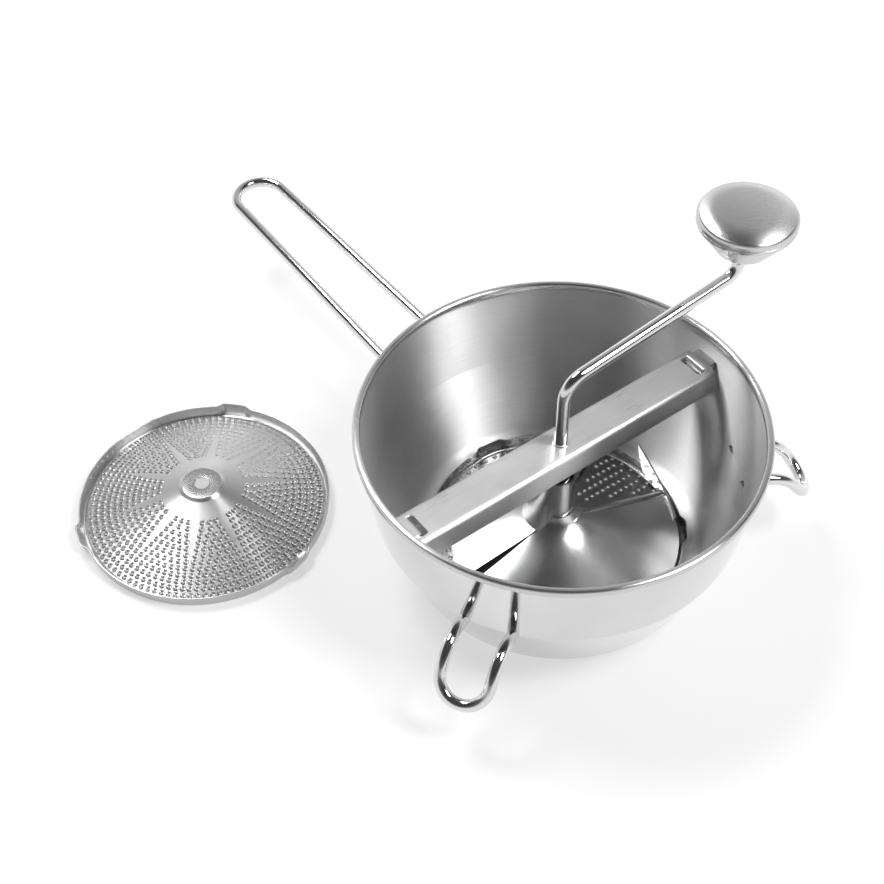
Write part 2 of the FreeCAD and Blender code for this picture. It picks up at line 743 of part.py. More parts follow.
def make_disc(label, hole_radius, ear_azimuth, place):
    """A domed sieve with an upright rim, three ears, a centre boss and its holes."""
    body = new_body(label, turn=ear_azimuth, **place)
    profile = new_sketch(body, label + "_outline")
    outline(profile, [
        ("disc_hole_radius", "boss_height - disc_sheet"),
        ("boss_radius", "boss_height - disc_sheet"),
        ("cone_inner_radius", "cone_height - disc_sheet"),
        ("cone_outer_radius", "cone_foot_height - disc_sheet"),
        ("disc_foot_radius - disc_sheet / 2", "0"),
        ("disc_base_radius", "0"),
        ("disc_rim_radius", "disc_rim_height"),
        ("disc_rim_radius - disc_sheet", "disc_rim_height"),
        ("disc_base_radius - disc_sheet", "disc_sheet"),
        ("disc_foot_radius", "disc_sheet"),
        ("cone_outer_radius", "cone_foot_height"),
        ("cone_inner_radius", "cone_height"),
        ("boss_radius", "boss_height"),
        ("disc_hole_radius", "boss_height"),
    ])
    revolve(body, profile)
    ear = new_sketch(body, label + "_ear", "XY_Plane")
    inner = "(disc_base_radius - disc_sheet / 2)"
    outline(ear, [
        (inner + " * cos(ear_half_angle)", "-" + inner + " * sin(ear_half_angle)"),
        ("ear_radius", "-ear_radius * sin(ear_tip_half_angle)", "ear_bend"),
        ("ear_radius", "ear_radius * sin(ear_tip_half_angle)", "ear_bend"),
        (inner + " * cos(ear_half_angle)", inner + " * sin(ear_half_angle)"),
    ])
    ear.setExpression("AttachmentOffset.Base.z", formula("disc_rim_height - ear_thickness"))
    tab = pad(body, ear, "ear_thickness")
    ears = body.newObject("PartDesign::PolarPattern", label + "_ears")
    ears.Originals = [tab]
    ears.Axis = (ear, ["N_Axis"])
    ears.Angle = 360.0
    ears.Occurrences = EAR_COUNT
    body.Tip = ears
    inside = new_sketch(body, label + "_inside")
    outline(inside, [
        ("disc_foot_radius", "disc_sheet"),
        ("disc_base_radius - disc_sheet", "disc_sheet"),
        ("disc_rim_radius - disc_sheet", "disc_rim_height"),
        ("disc_foot_radius", "disc_rim_height"),
    ])
    hollow = body.newObject("PartDesign::Groove", label + "_hollow")
    hollow.Profile = inside
    hollow.ReferenceAxis = (inside, ["V_Axis"])
    hollow.Angle = 360.0
    holes = new_sketch(body, label + "_holes", "XY_Plane")
    for ring in range(HOLE_RINGS):
        radius = "hole_first_ring + %d * hole_ring_step" % ring
        turn = "%.1f" % (ring % 2 * 180.0 / HOLES_PER_RING)
        circle(holes, "(" + radius + ") * cos(" + turn + ")", "(" + radius + ") * sin(" + turn + ")",
               hole_radius)
    row = body.newObject("PartDesign::Pocket", label + "_hole_row")
    row.Profile = holes
    row.Type = "Length"
    row.setExpression("Length", formula("boss_height"))
    row.Reversed = True
    rings = body.newObject("PartDesign::PolarPattern", label + "_hole_rings")
    rings.Originals = [row]
    rings.Axis = (holes, ["N_Axis"])
    rings.Angle = 360.0
    rings.Occurrences = HOLES_PER_RING
    body.Tip = rings
    return body


# ---------------------------------------------------------------- knob

KNOB_PLACE = {
    "turn": "crank_azimuth",
    "x": "crank_reach * cos(crank_azimuth)",
    "y": "crank_reach * sin(crank_azimuth)",
    "z": "knob_seam_height",
}
KNOB_BORE = "rod_radius + running_clearance + knob_bush_wall + seat_clearance"


def make_knob_base():
    """The lower half: a flared shell round a column that holds the bush."""
    return turned_body("knob_base", [
        (KNOB_BORE, "-knob_neck_depth"),
        ("knob_neck_radius", "-knob_neck_depth", "knob_neck_bend"),
        ("knob_radius", "-knob_flank_depth", "knob_flank_bend"),
        ("knob_radius", "0"),
        ("knob_radius - knob_wall", "0"),
        ("knob_radius - knob_wall", "-knob_flank_depth", "knob_flank_bend - knob_wall"),
        ("knob_neck_radius - knob_wall", "-knob_neck_depth + knob_wall"),
        ("knob_column_radius", "-knob_neck_depth + knob_wall"),
        ("knob_column_radius", "-knob_bush_top_depth"),
        (KNOB_BORE, "-knob_bush_top_depth"),
    ], **KNOB_PLACE)


def make_knob_cap():
    """The domed upper half, resting on the base's edge."""
    return turned_body("knob_cap", [
        ("knob_radius - knob_wall", "0"),
        ("knob_radius", "0"),
        ("knob_radius", "cap_edge_height", "cap_edge_bend"),
        ("cap_shoulder_radius", "cap_shoulder_height", "cap_crown_bend"),
        ("0", "cap_height"),
        ("0", "cap_height - knob_wall"),
        ("cap_shoulder_radius", "cap_shoulder_height - knob_wall"),
        ("knob_radius - knob_wall", "cap_edge_height - knob_wall"),
    ], **KNOB_PLACE)


def make_knob_bush():
    """The liner of the knob's bore, flanged over the column's top."""
    bore = "rod_radius + running_clearance"
    outside = bore + " + knob_bush_wall"
    return turned_body("knob_bush", [
        (bore, "-knob_neck_depth"),
        (outside, "-knob_neck_depth"),
        (outside, "-knob_bush_top_depth"),
        (outside + " + knob_bush_flange", "-knob_bush_top_depth"),
        (outside + " + knob_bush_flange", "-knob_bush_top_depth + knob_bush_flange_thickness"),
        (bore, "-knob_bush_top_depth + knob_bush_flange_thickness"),
    ], **KNOB_PLACE)


# ---------------------------------------------------------------- assembly

bowl_outside = make_bowl_form("bowl_outside", "seat_clearance")
bowl_cavity = make_bowl_form("bowl_cavity", "(-bowl_sheet - seat_clearance)")
RETAINER_FOOT = "-knob_bush_top_depth + knob_bush_flange_thickness + seat_clearance"

PIECES = [
    make_bowl(),
    make_wire_loop("handle_loop", handle_edges(), "handle_azimuth", bowl_outside),
    make_wire_loop("rest_loop_front", rest_edges(), "rest_front_azimuth", bowl_outside),
    make_wire_loop("rest_loop_right", rest_edges(), "rest_right_azimuth", bowl_outside),
    make_catch("bar_catch_right", "bar_azimuth", bowl_cavity),
    make_catch("bar_catch_left", "bar_azimuth + 180", bowl_cavity),
    make_crossbar(),
    make_shaft_bush(),
    ring_body("upper_washer", BUSH_OUTSIDE + " + seat_clearance", "washer_radius",
              UPPER_WASHER_FOOT, BAR_UNDERSIDE),
    make_pressure_spring(),
    make_crank_rod(),
    make_blade_hub(),
    make_blade(),
    turned_body("spring_sleeve", [
        ("hub_radius + seat_clearance", HUB_FOOT + " + blade_lift + blade_sheet"),
        ("sleeve_radius", HUB_FOOT + " + blade_lift + blade_sheet"),
        ("sleeve_radius", "sleeve_top"),
        ("hub_radius + seat_clearance", "sleeve_top"),
    ]),
    ring_body("lower_washer", "rod_radius + seat_clearance", "washer_radius", HUB_TOP, LOWER_WASHER_TOP),
    make_disc("sieve_disc", "sieve_hole_radius", "sieve_ear_azimuth", {"z": SIEVE_SEAT}),
    make_disc("spare_disc", "spare_hole_radius", "spare_ear_azimuth", {"x": "spare_x", "y": "spare_y"}),
    make_knob_base(),
    make_knob_cap(),
    make_knob_bush(),
    ring_body("knob_retainer", "rod_radius", "retainer_radius", RETAINER_FOOT,
              RETAINER_FOOT + " + retainer_thickness", **KNOB_PLACE),
]
doc.recompute()

for thing in doc.Objects:
    if "Invalid" in thing.State or "Error" in thing.State:
        raise RuntimeError("%s failed: %s" % (thing.Label, thing.State))
for piece in PIECES:
    shape = piece.Shape
    if shape.isNull() or not shape.isValid() or len(shape.Solids) != 1:
        raise RuntimeError("%s has no good solid" % piece.Label)

os.makedirs("parts", exist_ok=True)
for piece in PIECES:
    piece.Shape.exportStep("parts/%s.step" % piece.Label)
    print("%-16s %10.1f mm3" % (piece.Label, piece.Shape.Volume))
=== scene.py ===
import math

import bmesh
import bpy
from mathutils import Matrix, Quaternion, Vector
from mathutils.geometry import delaunay_2d_cdt


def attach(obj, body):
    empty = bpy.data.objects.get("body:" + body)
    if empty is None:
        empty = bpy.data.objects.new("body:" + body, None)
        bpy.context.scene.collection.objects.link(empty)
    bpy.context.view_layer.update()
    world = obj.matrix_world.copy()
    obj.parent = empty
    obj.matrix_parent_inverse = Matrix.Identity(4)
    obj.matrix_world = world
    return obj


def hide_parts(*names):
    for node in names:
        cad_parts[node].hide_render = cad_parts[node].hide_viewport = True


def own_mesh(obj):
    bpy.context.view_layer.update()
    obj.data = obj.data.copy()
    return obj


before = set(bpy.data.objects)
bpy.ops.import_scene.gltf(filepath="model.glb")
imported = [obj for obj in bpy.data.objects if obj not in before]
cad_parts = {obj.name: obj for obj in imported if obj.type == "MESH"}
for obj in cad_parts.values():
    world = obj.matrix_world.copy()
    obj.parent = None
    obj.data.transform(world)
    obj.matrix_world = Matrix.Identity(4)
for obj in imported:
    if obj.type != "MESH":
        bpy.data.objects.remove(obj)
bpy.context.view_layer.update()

# The looks of a stainless food mill. Shapes are worked out in millimetres and
# azimuths in degrees from +X towards +Y; builders turn them into metres.
MM = 0.001
HAIR = 0.02  # keeps two faces, or two bends, from falling together
SHARP_ANGLE = 38.0
WIRE_SHARP_ANGLE = 50.0
TURNED_SHARP_ANGLE = 60.0
SHELL_SHARP_ANGLE = 45.0
SIEVE_SHARP_ANGLE = 30.0

# ---------------------------------------------------------------- sizes

# bowl
RIM_RADIUS = 120.0
BOWL_HEIGHT = 107.0
BEAD_WIDTH = 4.4
BEAD_HEIGHT = 4.8
BEAD_ROUND = 1.9
BEAD_OUTER_ROUND = 1.38
BEAD_INNER_ROUND = 1.5
BEAD_CREASE = 0.3
BAND_INSET = 1.05
SHOULDER_RADIUS = 111.0
SHOULDER_HEIGHT = 51.0
SHOULDER_BEND = 4.0
BASE_RADIUS = 90.5
BASE_BEND = 8.0
BASE_FACE_TOP = 5.0
OUTLET_RADIUS = 75.5
OUTLET_EDGE_ROUND = 0.4
BOWL_SHEET = 1.1

# wire handle and rests
WIRE_RADIUS = 3.55
WIRE_SIDES = 36
WELD_DEPTH = 0.35
WELD_REACH = 12.0
WELD_HALVINGS = 40
HANDLE_AZIMUTH = 126.5
HANDLE_SPREAD = 21.2
HANDLE_END_BEND = 17.5
HANDLE_END_CENTRE = 324.97
HANDLE_ROOT_HEIGHT = 52.0
HANDLE_RISE = 11.0
REST_AZIMUTHS = {"front": 245.85, "right": 5.85}
REST_SPREAD = 14.5
REST_ROOT_HEIGHT = 50.3
REST_LIFT = 37.0
REST_DROP = 52.0
REST_BEND = 23.0
REST_TAIL = 2.5

# crossbar and catches
BAR_AZIMUTH = 35.5
BAR_HALF_LENGTH = 110.49
BAR_HALF_WIDTH = 12.75
BAR_TOP = 90.0
BAR_DEPTH = 17.0
BAR_SHEET = 1.5
BAR_BEND = 3.0
SLOT_INNER_END = 100.2
SLOT_LENGTH = 5.8
SLOT_WIDTH = 16.0
SLOT_CORNER = 1.6
SLOT_CUT = 4.0
BAR_EDGE = 0.22
CATCH_SHEET = 1.5
CATCH_WIDTH = 14.5
CATCH_FOOT = 76.0
CATCH_TIP = 103.7
CATCH_HOOK = 4.5
CATCH_EDGE_ROUND = 0.3
CATCH_INNER_BEND = 0.5
CATCH_WALL_BEND = 1.7
CATCH_TIP_BEND = 1.9
CATCH_BACK_GAP = 0.3
CATCH_WALL_GAP = 0.05
CATCH_SKIN = 0.5

# crank
ROD_RADIUS = 3.9
ROD_FOOT = 14.0
ROD_TOP = 186.6
CRANK_AZIMUTH = 35.7
CRANK_REACH = 129.8
ARM_ROOT_HEIGHT = 136.8
ARM_END_HEIGHT = 150.9
ARM_ROOT_BEND = 14.0
ARM_END_BEND = 12.0

# spring
SPRING_RADIUS = 6.3
SPRING_WIRE = 0.8
SPRING_TURNS = 8
SPRING_STEPS = 24
SPRING_FOOT = 32.95
SPRING_TOP = 86.45

# sleeve and blade, as they stand at rest
SLEEVE_RADIUS = 10.0
SLEEVE_SHEET = 1.1
SLEEVE_SINK = 0.5
SLEEVE_SWEEP = 0.7
SLEEVE_STRAIGHT = 0.3
SLEEVE_TOP = 62.0
SLEEVE_CUT = 255.0
SLEEVE_CUT_FADE = 45.0
SLEEVE_CUT_END = 60.0
SLEEVE_END_FADE = 60.0
JOIN_START = 95.0
JOIN_START_FADE = 50.0
JOIN_END = 225.0
JOIN_END_FADE = 35.0
SLEEVE_OPENING = 10.5
COLLAR_TOP = 50.0
COLLAR_REACH = 16.0
COLLAR_FOOT = 22.2
COLLAR_SLOPE = 0.25
FOLD = [(15.8, 354.0, 26.2), (14.2, 338.0, 27.8), (13.8, 318.0, 27.4),
        (14.6, 300.0, 25.8), (16.2, 286.0, 23.6)]
FOLD_END = 1.5
BLADE_SHEET = 1.2
BLADE_FOOT = 23.9
BLADE_CORE = 13.0
BLADE_EDGE = 0.2
CORE_LAP = 3.2
CORE_RISE = 3.5
FLARE_HEIGHT = 3.0
FLARE_FALL = 9.0
PLATE_RADIUS = 76.2
PLATE_EDGE_HEIGHT = 5.3
PLATE_START = 205.0
PLATE_END = 350.0
ROLL_RADIUS = 2.4
ROLL_BEND = 6.0
ROLL_LAP = 0.5
ROLL_AZIMUTH = 28.0
ROLL_OFFSET = 8.5
ROLL_INNER_END = 18.5
ROLL_OUTER_END = 74.0
ROLL_INNER_HEIGHT = 23.4
ROLL_OUTER_HEIGHT = 7.9
WING_START = 65.0
WING_END = 215.5
WING_INNER_END = 240.0
WING_TIP_RADIUS = 68.5
WING_LOW_RADIUS = 58.0
WING_TIP_HEIGHT = 14.0
WING_LOW_HEIGHT = 10.0
FIN_RADIUS = 75.9
FIN_LEAN = 0.10
FIN_START = 5.0
FIN_END = 43.5
FIN_LOW_HEIGHT = 9.5
FIN_TIP_HEIGHT = 26.0
FIN_CURVE = 2.5
FIN_FOOT_SHARE = 0.7
FIN_RISE_SHARE = 0.3

# sieves
DISC_BASE_RADIUS = 78.0
DISC_RIM_RADIUS = 79.3
DISC_RIM_HEIGHT = 8.3
DISC_SHEET = 0.8
DISC_FOOT_RADIUS = 76.3
CONE_OUTER_RADIUS = 75.0
CONE_FOOT_HEIGHT = 2.4
CONE_INNER_RADIUS = 14.5
CONE_HEIGHT = 20.8
BOSS_RADIUS = 12.5
BOSS_HEIGHT = 22.3
DISC_HOLE_RADIUS = 4.5
DISC_SEGMENTS = 240
DISC_FOOT_BEND = 0.7
DISC_EDGE_ROUND = 0.38
DISC_RIM_FLARE = 0.1
DISC_CORNER_BEND = 1.2
DISC_UNDER_BEND = 0.6
BOSS_BEND = 0.9
BOSS_INNER_BEND = 0.5
BOSS_MARGIN = 0.5
HOLE_EDGE_ROUND = 0.3
HOLE_INNER_ROUND = 0.2
CONE_TOP_BEND = 2.0
CONE_TOP_INNER_BEND = 1.5
CONE_EDGE_GAP = 0.05
PERFORATED_FROM = 22.5
EAR_RADIUS = 82.2
EAR_HALF_ANGLE = 5.0
EAR_FADE = 3.6
EAR_LIFT_RUN = 2.2
EAR_FOOT_SHARE = 0.55
EAR_RISE_SHARE = 0.45
SPARE_PLACE = (-219.6, 31.6, 0.0)
SPARE_EAR = 81.0
SIEVE_PLACE = (0.0, 0.0, BOWL_SHEET)
SIEVE_EAR = 118.0
EAR_COUNT = 3
SECTORS = 10
ARM_FADE = 34.0
HOLE_WEB = 0.15
ROW_GAP = 0.2
COLUMN_REACH = 9

# (radius, lift) from a burr's foot inwards, above and below the sheet
COARSE_BURR = [(1.75, 0.0), (1.45, 0.35), (1.2, 0.62), (0.98, 0.55), (0.92, 0.1)]
COARSE_UNDER = [(1.35, 0.0), (0.95, 0.25)]
FINE_BURR = [(2.0, 0.0), (1.62, 0.42), (1.2, 0.62), (0.8, 0.36), (0.62, -0.1)]
FINE_UNDER = [(1.2, 0.0), (0.65, 0.2)]

# knob; its depths and the cap's heights are counted from the seam
KNOB_RADIUS = 28.9
KNOB_SEAM_HEIGHT = 190.0
KNOB_NECK_RADIUS = 15.5
KNOB_NECK_DEPTH = 20.5
KNOB_NECK_BEND = 2.0
KNOB_FLANK_DEPTH = 1.8
KNOB_FLANK_BEND = 3.0
KNOB_COLUMN_RADIUS = 8.8
KNOB_WALL = 2.0
KNOB_BORE = 4.2
KNOB_LINER = 1.6
KNOB_COLUMN_TOP = -6.0
KNOB_NECK_EDGE = 0.3
KNOB_SEAM_GAP = 0.12
KNOB_SEAM_ROUND = 0.35
CAP_HEIGHT = 9.4
CAP_SEAM_ROUND = 0.4
CAP_EDGE_HEIGHT = 4.2
CAP_EDGE_BEND = 3.0
DOME_RADIUS = 21.0
DOME_HEIGHT = 7.4
DOME_BEND = 30.0

# camera, floor and surround; the floor's distances are in metres
FOCAL_PIXELS = 1488.66
PHOTO_PIXELS = 884
SENSOR = 36.0
CAMERA_PLACE = (-68.68, -572.01, 733.01)
CAMERA_DOWN = 48.264
CAMERA_ROLL = -1.109
FLOOR_REACH = 4.0
FLOOR_WHITE = 0.95
FLOOR_GLOW = 0.55
GLOW_NEAR = 0.7
GLOW_FAR = 2.0
CEILING = [(0.0, 1.0), (0.18, 0.85), (0.36, 0.15), (0.72, 0.05), (1.0, 0.08)]
BACK = [(0.25, 0.0), (0.7, 0.5)]

# noise scales per metre, and how far the brushing draws its grain out
GRAIN_SCALE = 4000.0
CLOUD_SCALE = 14.0
SMEAR_SCALE = 35.0
RING_GRAIN = 0.0016
LINE_GRAIN = 0.012
GRAIN_DEPTH = 0.00003
WEAR = 0.03


# ---------------------------------------------------------------- shape helpers


def spot(x, y, z=0.0):
    return Vector((x, y, z))


def polar(radius, azimuth, height=0.0):
    """A point at a radius and an azimuth in degrees."""
    turn = math.radians(azimuth)
    return spot(radius * math.cos(turn), radius * math.sin(turn), height)


def blend(low, high, share):
    return low + (high - low) * share


def ease(share):
    """A soft start and a soft stop between 0 and 1."""
    share = min(1.0, max(0.0, share))
    return share * share * (3 - 2 * share)


def rounded(corners, closed=False, step=7.5):
    """Points along straight runs whose corners, each (place, bend radius), are arcs."""
    points = []
    count = len(corners)
    for i, (place, bend) in enumerate(corners):
        if not bend or (not closed and i in (0, count - 1)):
            points.append(place.copy())
            continue
        before = (corners[i - 1][0] - place).normalized()
        after = (corners[(i + 1) % count][0] - place).normalized()
        half = before.angle(after) / 2
        centre = place + (before + after).normalized() * (bend / math.sin(half))
        first = place + before * (bend / math.tan(half)) - centre
        last = place + after * (bend / math.tan(half)) - centre
        turn = math.pi - 2 * half
        steps = max(2, math.ceil(math.degrees(turn) / step))
        axis = first.cross(last).normalized()
        for k in range(steps + 1):
            points.append(centre + Quaternion(axis, turn * k / steps) @ first)
    return points


def profile(*corners, closed=True, step=7.5):
    """A rounded outline (radius, height), each corner (r, z) or (r, z, bend)."""
    listed = [(spot(c[0], c[1]), c[2] if len(c) > 2 else 0) for c in corners]
    return [(p.x, p.y) for p in rounded(listed, closed, step)]


def new_piece(name, points, faces, sharp=SHARP_ANGLE):
    """A mesh object from points in millimetres, smooth but for its sharp edges."""
    mesh = bpy.data.meshes.new(name)
    mesh.from_pydata([tuple(p * MM) for p in points], [], faces)
    work = bmesh.new()
    work.from_mesh(mesh)
    bmesh.ops.remove_doubles(work, verts=work.verts, dist=1e-7)
    bmesh.ops.recalc_face_normals(work, faces=work.faces)
    work.to_mesh(mesh)
    work.free()
    finish_shading(mesh, sharp)
    piece = bpy.data.objects.new(name, mesh)
    bpy.context.scene.collection.objects.link(piece)
    return piece


def finish_shading(mesh, sharp):
    mesh.polygons.foreach_set("use_smooth", [True] * len(mesh.polygons))
    mesh.set_sharp_from_angle(angle=math.radians(sharp))
    mesh.update()


def strip(outline, segments=192, bulge=None, closed=True):
    """The points and faces of an outline (radius, height) turned about Z.

    bulge(radius, height, azimuth), where given, returns a point's own radius.
    """
    count = len(outline)
    points = []
    for i in range(segments):
        azimuth = 360.0 * i / segments
        for radius, height in outline:
            own = bulge(radius, height, azimuth) if bulge else radius
            points.append(polar(own, azimuth, height))
    faces = []
    for i in range(segments):
        here = i * count
        there = (i + 1) % segments * count
        for j in range(count if closed else count - 1):
            k = (j + 1) % count
            faces.append((here + j, there + j, there + k, here + k))
    return points, faces


def lathe(name, outline, segments=192, sharp=SHARP_ANGLE, place=None):
    """A closed outline (radius, height) turned about Z."""
    piece = new_piece(name, *strip(outline, segments), sharp)
    if place:
        piece.data.transform(Matrix.Translation(Vector(place) * MM))
    return piece


def tube(name, path, radius, sides=32, seat=None, end_radius=None):
    """A round wire along a path, tapering to end_radius where one is given.

    seat(point, direction), where given, slides the points of the two end rings.
    """
    count = len(path)
    directions = []
    for i in range(count):
        ahead = path[min(i + 1, count - 1)] - path[max(i - 1, 0)]
        directions.append(ahead.normalized())
    directions[0] = (path[1] - path[0]).normalized()
    directions[-1] = (path[-1] - path[-2]).normalized()
    side = directions[0].orthogonal().normalized()
    points = []
    for i, (centre, along) in enumerate(zip(path, directions)):
        if i:
            side = directions[i - 1].rotation_difference(along) @ side
        for k in range(sides):
            around = Quaternion(along, 2 * math.pi * k / sides) @ side
            point = centre + around * blend(radius, end_radius or radius, ease(i / (count - 1)))
            if seat and i in (0, count - 1):
                point = seat(point, along if i else -along)
            points.append(point)
    faces = []
    for i in range(count - 1):
        for k in range(sides):
            n = (k + 1) % sides
            here, there = i * sides, (i + 1) * sides
            faces.append((here + k, here + n, there + n, there + k))
    faces.append(tuple(range(sides)))
    faces.append(tuple(range(count * sides - sides, count * sides)))
    return new_piece(name, points, faces, WIRE_SHARP_ANGLE)


def thick_grid(name, surface, across, along, thickness):
    """A sheet over surface(u, v), u and v from 0 to 1, thickened downwards."""
    top = []
    for i in range(across + 1):
        for j in range(along + 1):
            top.append(surface(i / across, j / along))
    row = along + 1

    def at(i, j):
        i = min(max(i, 0), across)
        j = min(max(j, 0), along)
        return top[i * row + j]

    low = []
    for i in range(across + 1):
        for j in range(along + 1):
            normal = (at(i + 1, j) - at(i - 1, j)).cross(at(i, j + 1) - at(i, j - 1))
            low.append(at(i, j) - normal.normalized() * thickness)
    faces = []
    shift = len(top)
    for i in range(across):
        for j in range(along):
            a, b = i * row + j, (i + 1) * row + j
            c, d = b + 1, a + 1
            faces.append((a, b, c, d))
            faces.append((a + shift, d + shift, c + shift, b + shift))
    border = [i * row for i in range(across)] + [across * row + j for j in range(along)]
    border += [i * row + along for i in range(across, 0, -1)] + list(range(along, 0, -1))
    for a, b in zip(border, border[1:] + border[:1]):
        faces.append((a, b, b + shift, a + shift))
    return new_piece(name, top + low, faces)


def soften(piece, width=0.25):
    """Round the sharp edges a little, so that they catch the light."""
    bevel = piece.modifiers.new("edges", "BEVEL")
    bevel.width = width * MM
    bevel.segments = 2
    bevel.limit_method = "ANGLE"
    bevel.angle_limit = math.radians(SHARP_ANGLE)


def settle(piece):
    """Turn a piece's modifiers into mesh."""
    graph = bpy.context.evaluated_depsgraph_get()
    mesh = bpy.data.meshes.new_from_object(piece.evaluated_get(graph))
    piece.modifiers.clear()
    piece.data = mesh
    finish_shading(mesh, SHARP_ANGLE)


def join(name, pieces):
    """Several pieces as one object."""
    work = bmesh.new()
    for piece in pieces:
        work.from_mesh(piece.data)
    mesh = bpy.data.meshes.new(name)
    work.to_mesh(mesh)
    work.free()
    for piece in pieces:
        bpy.data.objects.remove(piece)
    joined = bpy.data.objects.new(name, mesh)
    bpy.context.scene.collection.objects.link(joined)
    finish_shading(mesh, SHARP_ANGLE)
    return joined


def turn_piece(piece, azimuth):
    """Turn a piece's mesh about Z."""
    piece.data.transform(Matrix.Rotation(math.radians(azimuth), 4, "Z"))
    piece.data.update()


def dress(piece, material, body, slot_name, *nodes):
    """Give a piece its material, its body and the nodes it stands for. slot_name is not used."""
    piece.data.materials.clear()
    piece.data.materials.append(material)
    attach(piece, body)
    if nodes:
        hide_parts(*nodes)


# ---------------------------------------------------------------- materials


class Nodes:
    """Short calls for building a material's node tree."""

    def __init__(self, name):
        self.material = bpy.data.materials.new(name)
        self.material.use_nodes = True
        self.tree = self.material.node_tree
        self.shader = self.tree.nodes["Principled BSDF"]

    def add(self, kind, **settings):
        node = self.tree.nodes.new(kind)
        for key, value in settings.items():
            setattr(node, key, value)
        return node

    def link(self, source, target):
        self.tree.links.new(source, target)

    def feed(self, node, *values):
        """Give a node's sockets, in order, a number or another node's output each."""
        for socket, value in zip(node.inputs, values):
            if isinstance(value, (int, float)):
                socket.default_value = value
            else:
                self.link(value, socket)
        return node.outputs[0]

    def math(self, operation, *values):
        return self.feed(self.add("ShaderNodeMath", operation=operation), *values)

    def combine(self, x, y, z):
        return self.feed(self.add("ShaderNodeCombineXYZ"), x, y, z)

    def length(self, x, y):
        squares = [self.math("MULTIPLY", value, value) for value in (x, y)]
        return self.math("SQRT", self.math("ADD", *squares))

    def noise(self, vector, scale, detail=3.0, roughness=0.55):
        node = self.add("ShaderNodeTexNoise")
        node.inputs["Scale"].default_value = scale
        node.inputs["Detail"].default_value = detail
        node.inputs["Roughness"].default_value = roughness
        self.link(vector, node.inputs["Vector"])
        return node.outputs["Fac"]

    def spread(self, value, low, high, from_low=0.3, from_high=0.7):
        node = self.add("ShaderNodeMapRange")
        node.inputs["From Min"].default_value = from_low
        node.inputs["From Max"].default_value = from_high
        node.inputs["To Min"].default_value = low
        node.inputs["To Max"].default_value = high
        self.link(value, node.inputs["Value"])
        return node.outputs["Result"]

    def place(self):
        """The point on the piece at rest, in metres, split into x, y and z."""
        coordinates = self.add("ShaderNodeTexCoord")
        split = self.add("ShaderNodeSeparateXYZ")
        self.link(coordinates.outputs["Object"], split.inputs[0])
        return coordinates.outputs["Object"], split.outputs

    def bump(self, height, strength, distance):
        node = self.add("ShaderNodeBump")
        node.inputs["Strength"].default_value = strength
        node.inputs["Distance"].default_value = distance
        self.link(height, node.inputs["Height"])
        self.link(node.outputs["Normal"], self.shader.inputs["Normal"])


def streaks(build, direction, centre):
    """A vector in which noise is drawn out along the brushing's direction."""
    axes = build.place()[1]
    x = build.math("SUBTRACT", axes[0], centre[0] * MM)
    y = build.math("SUBTRACT", axes[1], centre[1] * MM)
    z = axes[2]
    if direction == "ring":
        angle = build.math("ARCTAN2", y, x)
        return build.combine(build.math("MULTIPLY", angle, RING_GRAIN), build.length(x, y), z)
    turn = math.radians(direction)
    along = build.math("ADD", build.math("MULTIPLY", x, math.cos(turn)),
                       build.math("MULTIPLY", y, math.sin(turn)))
    aside = build.math("SUBTRACT", build.math("MULTIPLY", y, math.cos(turn)),
                       build.math("MULTIPLY", x, math.sin(turn)))
    return build.combine(build.math("MULTIPLY", along, LINE_GRAIN), aside, z)


def steel(name, colour=0.6, rough=(0.10, 0.18), brush=0.0, direction="ring", centre=(0, 0),
          anisotropy=0.0, contrast=0.0):
    """Stainless steel: a brushed grain, uneven polish and faint handling marks.

    contrast darkens and lightens the grain's own lines.
    """
    build = Nodes(name)
    shader = build.shader
    shader.inputs["Metallic"].default_value = 1.0
    whole = build.place()[0]
    grain = build.noise(streaks(build, direction, centre), GRAIN_SCALE, 2.0, 0.6)
    cloud = build.noise(whole, CLOUD_SCALE, 2.0)
    shade = build.math("ADD", build.spread(cloud, -WEAR, WEAR),
                       build.spread(grain, -contrast, contrast))
    value = build.math("ADD", shade, colour)
    build.link(build.combine(value, value, value), shader.inputs["Base Color"])
    smear = build.noise(whole, SMEAR_SCALE, 2.0, 0.5)
    mixed = build.math("ADD", build.math("MULTIPLY", smear, 0.5),
                       build.math("MULTIPLY", grain, 0.5))
    build.link(build.spread(mixed, *rough), shader.inputs["Roughness"])
    if brush:
        build.bump(grain, brush, GRAIN_DEPTH)
    if not anisotropy:
        return build.material
    shader.inputs["Anisotropic"].default_value = anisotropy
    if direction == "ring":
        shader.inputs["Anisotropic Rotation"].default_value = 0.25
        tangent = build.add("ShaderNodeTangent", direction_type="RADIAL", axis="Z")
        build.link(tangent.outputs["Tangent"], shader.inputs["Tangent"])
    else:
        across = math.radians(direction + 90)
        build.link(build.combine(math.cos(across), math.sin(across), 0.0),
                   shader.inputs["Tangent"])
    return build.material


